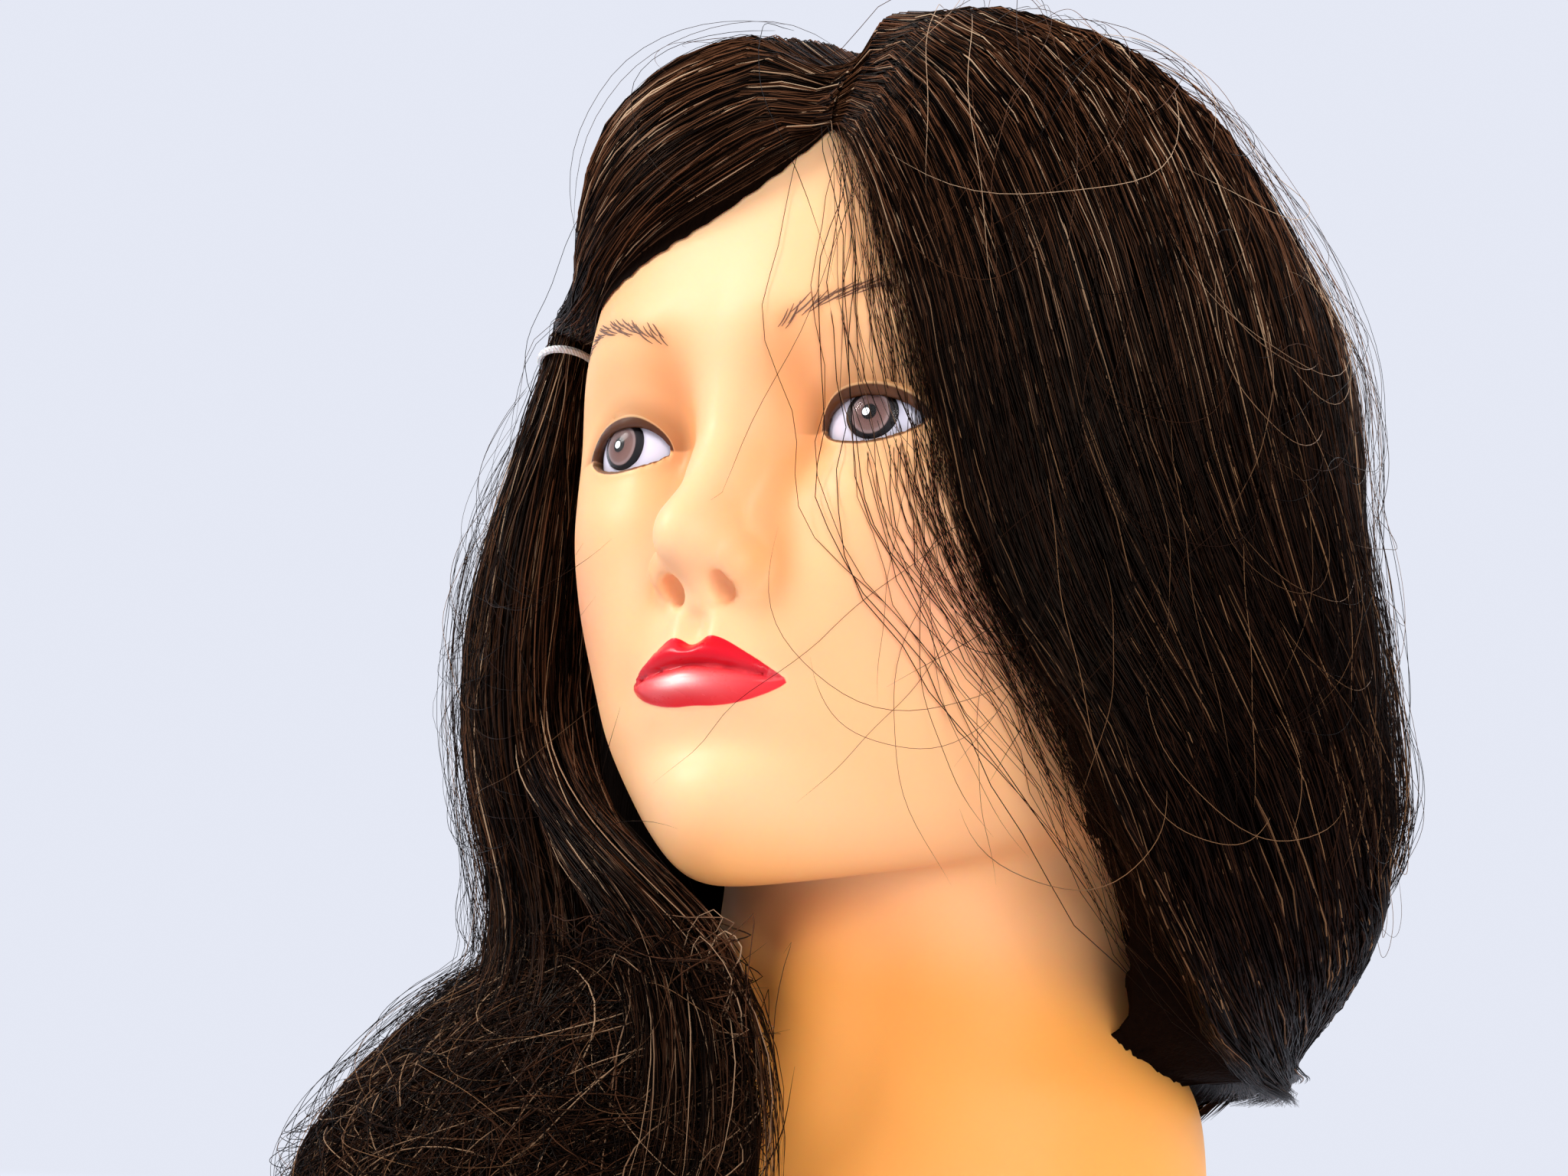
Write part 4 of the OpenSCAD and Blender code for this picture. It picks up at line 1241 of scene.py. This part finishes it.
def pile_strands(rng, coat, count, points):
    """Tangled ends: arcs that wander over the pile at every heading."""
    a = rng.uniform(-122, 6, count)
    top = rng.uniform(50, 78, count)
    z = 3.0 + (top - 4.0) * rng.random(count)
    heading = rng.uniform(0, 6.28, count)
    bend = rng.normal(0, 0.035, count)
    step = rng.uniform(2.6, 6.5, count)
    depth = rng.exponential(3.5, count) - 1.5
    wobble = rng.uniform(0, 6.28, count)
    path = np.empty((count, points, 3))
    for n in range(points):
        r = coat.outer(a, z) - depth + 1.6 * np.sin(0.55 * n + wobble)
        path[:, n] = to_xyz(a, z, np.maximum(r, 74.0))
        heading = heading + bend * step + 0.05 * np.sin(0.4 * n + wobble * 2)
        a = a + np.degrees(np.cos(heading) * step / r)
        z = z + np.sin(heading) * step * 0.75
        rising = np.sin(heading) > 0
        heading = np.where(((z < 3) & ~rising) | ((z > top) & rising), -heading, heading)
        turn = ((a > 5) & (np.cos(heading) > 0)) | ((a < -118) & (np.cos(heading) < 0))
        heading = np.where(turn, math.pi - heading, heading)
        z = np.clip(z, 1.0, top + 2.0)
    path = smooth_along(path, 1)
    path[..., 2] = np.maximum(path[..., 2], 0.7)
    return path


def wander(rng, base, a, t, heading, bend, step, lift, points, jitter=0.03, lowest=2.0):
    """Strands that run over a radius map from (a, t) at a heading, 0 towards the left and 90 up."""
    count = len(a)
    step = np.minimum(step, np.maximum((t - lowest) / points, 0.8))
    heading = np.radians(heading)
    path = np.empty((count, points, 3))
    phase = rng.uniform(0, 6.28, (2, count))
    for n in range(points):
        share = n / (points - 1)
        level = base(a, np.clip(t, 2, 340))
        path[:, n] = to_xyz(a, t, level + lift(share))
        rise = np.radians(np.maximum(t - T_BEND, 0.0) / T_PER_DEGREE)
        heading = heading + bend * step + jitter * np.sin(0.7 * n + phase[0]) * step ** 0.5
        a = a + np.degrees(np.cos(heading) * step / np.maximum(level * np.cos(rise), 20.0))
        t = t + np.sin(heading) * step
    path[..., 2] = np.maximum(path[..., 2], 0.8)
    return smooth_along(path, 1)


def flyaways(rng, coat, strands):
    """Loose hairs: over the face beside the curtain, off the outline, in curls and from the pile."""

    def add(name, path, thick, bright):
        count = len(path)
        strand_pieces(name, None, path, rng.uniform(*thick, count), tones(rng, count, bright), strands)

    def swell(low, high, count, start=0.0):
        size = rng.uniform(low, high, count)
        return lambda share: start + size * math.sin(math.pi * min(1.0, 0.12 + 0.8 * share))

    many = 150
    u = rng.uniform(0, 0.03, many)
    path = coat.strands(rng, LEFT_T, LEFT_A, u, u, rng.uniform(0, 0.1, many), rng.uniform(0.55, 0.95, many),
                        np.zeros(many), clumps=40, wave=2.5, frizz=1.6, gather=0.0,
                        through=rng.uniform(0.05, 0.9, many))
    a, t, r = to_polar(path)
    drift = rng.exponential(4.5, (many, 1)) * np.sin(np.linspace(0.15, 2.6, path.shape[1]))[None, :]
    add("hair_loose_edge", to_xyz(a - drift, t, np.maximum(r, coat.scalp(a - drift, t) + 1.2)), (0.07, 0.12), 0.1)

    many = 8
    t = rng.uniform(130, 235, many)
    a = np.interp(t, LEFT_T[7::-1], LEFT_A[0.0][7::-1]) - rng.uniform(0, 6, many)
    path = wander(rng, coat.scalp, a, t, rng.normal(-112, 14, many), rng.normal(0.012, 0.012, many),
                  rng.uniform(2.0, 3.6, many), lambda share: 3.0 + 6.0 * share, 24)
    add("hair_loose_cheek", path, (0.05, 0.08), 0.1)

    many = 420
    t = rng.uniform(118, 325, many)
    first = np.interp(t, LEFT_T[7::-1], LEFT_A[0.0][7::-1]) + 10.0
    a = first + (200.0 - first) * rng.random(many)
    path = wander(rng, coat.outer, a, t, rng.normal(-84, 20, many), rng.normal(0, 0.012, many),
                  rng.uniform(2.0, 5.5, many), swell(1.0, 8.0, many), 20, lowest=100.0)
    add("hair_halo_left", path, (0.06, 0.10), 0.14)
    many = 260
    t = rng.uniform(112, 320, many)
    a = -175.0 + (np.interp(t, [220, 262, 300], [94, 130, 160])) * rng.random(many)
    path = wander(rng, coat.outer, a, t, rng.normal(-96, 20, many), rng.normal(0, 0.012, many),
                  rng.uniform(2.0, 5.5, many), swell(1.0, 8.0, many), 20, lowest=92.0)
    add("hair_halo_right", path, (0.06, 0.10), 0.14)

    many = 46
    a = rng.uniform(35, 125, many)
    t = rng.uniform(90, 240, many)
    turn = rng.choice([-1.0, 1.0], many) * rng.uniform(0.03, 0.07, many)
    path = wander(rng, coat.outer, a, t, rng.uniform(-150, -30, many), turn, rng.uniform(2.0, 3.6, many),
                  swell(1.5, 6.0, many), 24)
    add("hair_curls", path, (0.06, 0.11), 0.35)

    many = 240
    a = rng.uniform(84, 150, many)
    t = rng.uniform(112, 190, many)
    path = wander(rng, coat.outer, a, t, rng.normal(-80, 9, many), rng.normal(0.004, 0.008, many),
                  rng.uniform(2.5, 5.0, many), swell(0.5, 5.0, many), 20, lowest=96.0)
    add("hair_loose_back", path, (0.07, 0.12), 0.08)

    many = 620
    a = rng.uniform(-120, -14, many)
    t = rng.uniform(6, 70, many)
    path = wander(rng, coat.outer, a, t, rng.uniform(0, 360, many), rng.normal(0, 0.05, many),
                  rng.uniform(2.0, 4.5, many), swell(0.5, 11.0, many, -1.0), 20)
    add("hair_loose_pile", path, (0.06, 0.11), 0.1)

    many = 240
    path = lock_strands(rng, [(t, a, r, w + 7.0, d + 6.0) for t, a, r, w, d in LOCK[3:]], many, 24)
    add("hair_loose_lock", path, (0.06, 0.10), 0.12)

    many = 260
    a = rng.uniform(-74, -44, many)
    t = rng.uniform(70, 210, many)
    path = wander(rng, coat.outer, a, t, rng.normal(-96, 26, many), rng.normal(0, 0.018, many),
                  rng.uniform(2.0, 4.5, many), swell(2.0, 13.0, many, -2.0), 22)
    add("hair_loose_side", path, (0.05, 0.09), 0.12)


def hair():
    outer = RadiusMap(HAIR_NODES, 1)
    scalp = RadiusMap(["vinyl_skin"], 1)
    comb_parting(outer, scalp)
    slim_side(outer)
    coat = Coat(outer, scalp)
    strands, under = hair_paint(), under_paint()
    # Painted light reaching further down, for the lock, the front lock and the pile.
    lower_lit_strands = hair_paint("hair_strands_lit_lower", -0.12, 0.36)
    for node in HAIR_NODES:
        under_hair(node, under, 3.4, outer, scalp)
    rng = np.random.default_rng(21)
    ones = np.ones

    def lay(name, levels, table, u, root, depth, thick, start=0.0, stop=(0.84, 1.0), **more):
        count = len(u)
        begin = rng.uniform(0, start, count) if start else np.zeros(count)
        end = rng.uniform(*stop, count)
        path = coat.strands(rng, levels, table, u, root, begin, end, depth, **more)
        width = rng.uniform(*thick, count)
        return strand_pieces(name, None, path, width, tones(rng, count), strands)

    many = 3600
    u = rng.uniform(0, 1, many) ** 1.25
    lay("hair_left", LEFT_T, LEFT_A, u, np.clip(u * 1.02, 0, 1), 0.2 + 4.2 * rng.random(many) ** 1.6,
        (0.13, 0.24), clumps=120, wave=1.6)
    many = 1500
    u = 0.07 * rng.random(many) ** 1.3
    lay("hair_curtain", LEFT_T, LEFT_A, u, u, np.zeros(many), (0.11, 0.20), clumps=44, wave=1.8,
        gather=0.45, through=rng.random(many) ** 0.8)
    many = 2600
    u = rng.uniform(0, 1, many)
    lay("hair_right", RIGHT_T, RIGHT_A, u, np.clip(0.12 + u * 0.88, 0, 1), 0.2 + 4.2 * rng.random(many) ** 1.6,
        (0.13, 0.24), clumps=110, wave=2.0)
    many = 1500
    u = rng.uniform(0, 1, many)
    lay("hair_fringe", FRINGE_A, FRINGE_T, u, 0.02 + 0.42 * u, 0.1 + 5.0 * rng.random(many) ** 1.4,
        (0.12, 0.21), clumps=60, wave=1.0, gather=0.35, across=True, reach=150.0, stop=(0.97, 1.0), into=TIE)
    many = 500
    u = 0.10 * rng.random(many) ** 1.2
    lay("hair_fringe_edge", FRINGE_A, FRINGE_T, u, 0.02 + 0.3 * u, np.zeros(many), (0.11, 0.18), clumps=30,
        wave=0.8, gather=0.3, across=True, reach=150.0, stop=(0.97, 1.0), into=TIE,
        through=rng.uniform(0.02, 0.75, many))
    path = lock_strands(rng, LOCK, 2600, 24)
    strand_pieces("hair_lock", None, path, rng.uniform(0.12, 0.22, len(path)), tones(rng, len(path), 0.06), lower_lit_strands)
    tied = [(t, a, r or float(outer(np.array([a]), np.array([t]))[0]) - d, w, d) for t, a, r, w, d in TIED]
    path = lock_strands(rng, tied, 1100, 30, 5)
    strand_pieces("hair_tied", None, path, rng.uniform(0.12, 0.2, len(path)), tones(rng, len(path), 0.06), strands)
    path = lock_strands(rng, FRONT_LOCK, 1300, 24)
    strand_pieces("hair_front_lock", None, path, rng.uniform(0.11, 0.2, len(path)), tones(rng, len(path), 0.08),
                  lower_lit_strands)
    many = 1500
    a = rng.uniform(92, 236, many)
    low = np.interp(a, [92, 118, 150, 168, 200, 242], [66, 54, 50, 34, 10, 3])
    t = low + 58.0 * rng.random(many)
    path = wander(rng, outer, a, t, -26.0 + 16.0 * ramp(a, 170, 230) + rng.normal(0, 5, many),
                  rng.normal(0, 0.002, many), rng.uniform(2.4, 4.6, many), lambda share: 0.4, 20)
    a, t, r = to_polar(path)
    low = np.interp(a % 360.0, [92, 118, 150, 168, 200, 242], [66, 54, 50, 34, 10, 3]) + 1.5
    r = r - 3.0 * rng.random((many, 1)) ** 1.5
    strand_pieces("hair_nape", None, to_xyz(a, np.maximum(t, low), r), rng.uniform(0.12, 0.22, many),
                  tones(rng, many), strands)
    path = pile_strands(rng, coat, 2600, 22)
    strand_pieces("hair_pile", None, path, rng.uniform(0.11, 0.20, len(path)), tones(rng, len(path), 0.10), lower_lit_strands)
    flyaways(rng, coat, strands)


# ---------------------------------------------------------------------------------------------
# Core, base and tie
# ---------------------------------------------------------------------------------------------

SKIN_THICK, FOAM_BOTTOM = 5.2, 6.4
BORE_R, BORE_TOP, SCREW_AT = 14.4, 78.4, 46.0


def foam_field(x, y, z):
    """The foam fills the head inside the vinyl, with room for the socket's tube and the eyes."""
    f = -y
    flat = plain_head(x, f + 11.0 * ramp(f, 25.0, 55.0), z)
    d = blend_union(flat, neck(x, f, z), 9.0) + SKIN_THICK
    d = np.maximum(d, FOAM_BOTTOM - z)
    tube = np.maximum(np.sqrt(x * x + f * f) - BORE_R, z - BORE_TOP)
    d = np.maximum(d, -tube)
    eyes = np.sqrt((np.abs(x) - EYE_X) ** 2 + (f - EYE_F) ** 2 + (z - EYE_Z) ** 2) - (EYE_R + 0.6)
    return np.maximum(d, -eyes)


def foam_paint():
    """Cream rigid foam with open cells."""
    p = Paint("foam").set(Roughness=0.85, IOR=1.3)
    cells = p.nodes.new("ShaderNodeTexVoronoi")
    cells.inputs["Scale"].default_value = 420.0
    p.links.new(p.place(), cells.inputs["Vector"])
    wall = p.step(cells.outputs["Distance"], 0.15, 0.65)
    p.join(p.mix(wall, (0.66, 0.52, 0.30), (0.80, 0.69, 0.47)), "Base Color")
    p.bump(wall, 0.6, 0.0006)
    return p.material


def foam_core():
    places = [ladder([(low, 3.4), (high, 3.4)]) for low, high in ((-82, 84), (-104, 96), (-2, 296))]
    xs, ys, zs = places
    field = foam_field(xs[:, None, None], ys[None, :, None], zs[None, None, :])
    points, quads = surface_net(field, xs, ys, zs)
    core = mesh_object("foam_core_cast", settle(points, foam_field), quads, foam_paint())
    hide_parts("foam_core")
    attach(core, "root")


def moulded_paint(name, low, high, roughness, scale=260.0, grit=0.25):
    """Moulded plastic: a fine spark-eroded grain over a slightly uneven colour."""
    p = Paint(name).set(Roughness=roughness, IOR=1.46)
    grain = p.noise(scale * 6.0, 2.0)
    p.join(p.mix(p.step(p.noise(scale * 0.2, 3.0), 0.35, 0.65), low, high), "Base Color")
    p.join(p.math("ADD", roughness - 0.05, p.math("MULTIPLY", grain, 0.12)), "Roughness")
    p.bump(grain, grit, 0.0002)
    return p.material


def zinc_paint():
    """Zinc-plated steel with turning marks round each screw's head."""
    p = Paint("zinc_screw").set(Metallic=1.0, Roughness=0.32)
    marks = p.noise(1.0, 4.0, p.stretched(300.0, 300.0, 2400.0))
    p.join(p.mix(marks, (0.50, 0.51, 0.52), (0.72, 0.72, 0.70)), "Base Color")
    p.join(p.math("ADD", 0.24, p.math("MULTIPLY", marks, 0.2)), "Roughness")
    p.bump(marks, 0.2, 0.0001)
    return p.material


def tie_paint():
    """White covered elastic with ribs round the band."""
    p = Paint("elastic_tie").set(Roughness=0.35, IOR=1.45, Subsurface_Weight=0.15, Subsurface_Scale=0.001)
    ribs = p.nodes.new("ShaderNodeTexWave")
    ribs.bands_direction = "DIAGONAL"
    ribs.inputs["Scale"].default_value = 520.0
    p.links.new(p.place(), ribs.inputs["Vector"])
    p.join(p.mix(ribs.outputs["Fac"], (0.66, 0.63, 0.60), (0.90, 0.88, 0.86)), "Base Color")
    p.bump(ribs.outputs["Fac"], 0.5, 0.0002)
    return p.material


def repaint(node, material):
    """Gives a CAD node that stays a finished material."""
    for place in bpy.data.objects[node].material_slots:
        place.material = material


def hardware():
    repaint("base_plate", moulded_paint("base_plate_abs", (0.032, 0.033, 0.036), (0.044, 0.045, 0.048), 0.48))
    repaint("clamp_socket", moulded_paint("clamp_socket_nylon", (0.15, 0.155, 0.16), (0.19, 0.195, 0.20), 0.42))
    repaint("base_screws", zinc_paint())
    repaint("hair_tie", tie_paint())


aim_camera()
studio()
floor()
hair()
face()
foam_core()
hardware()
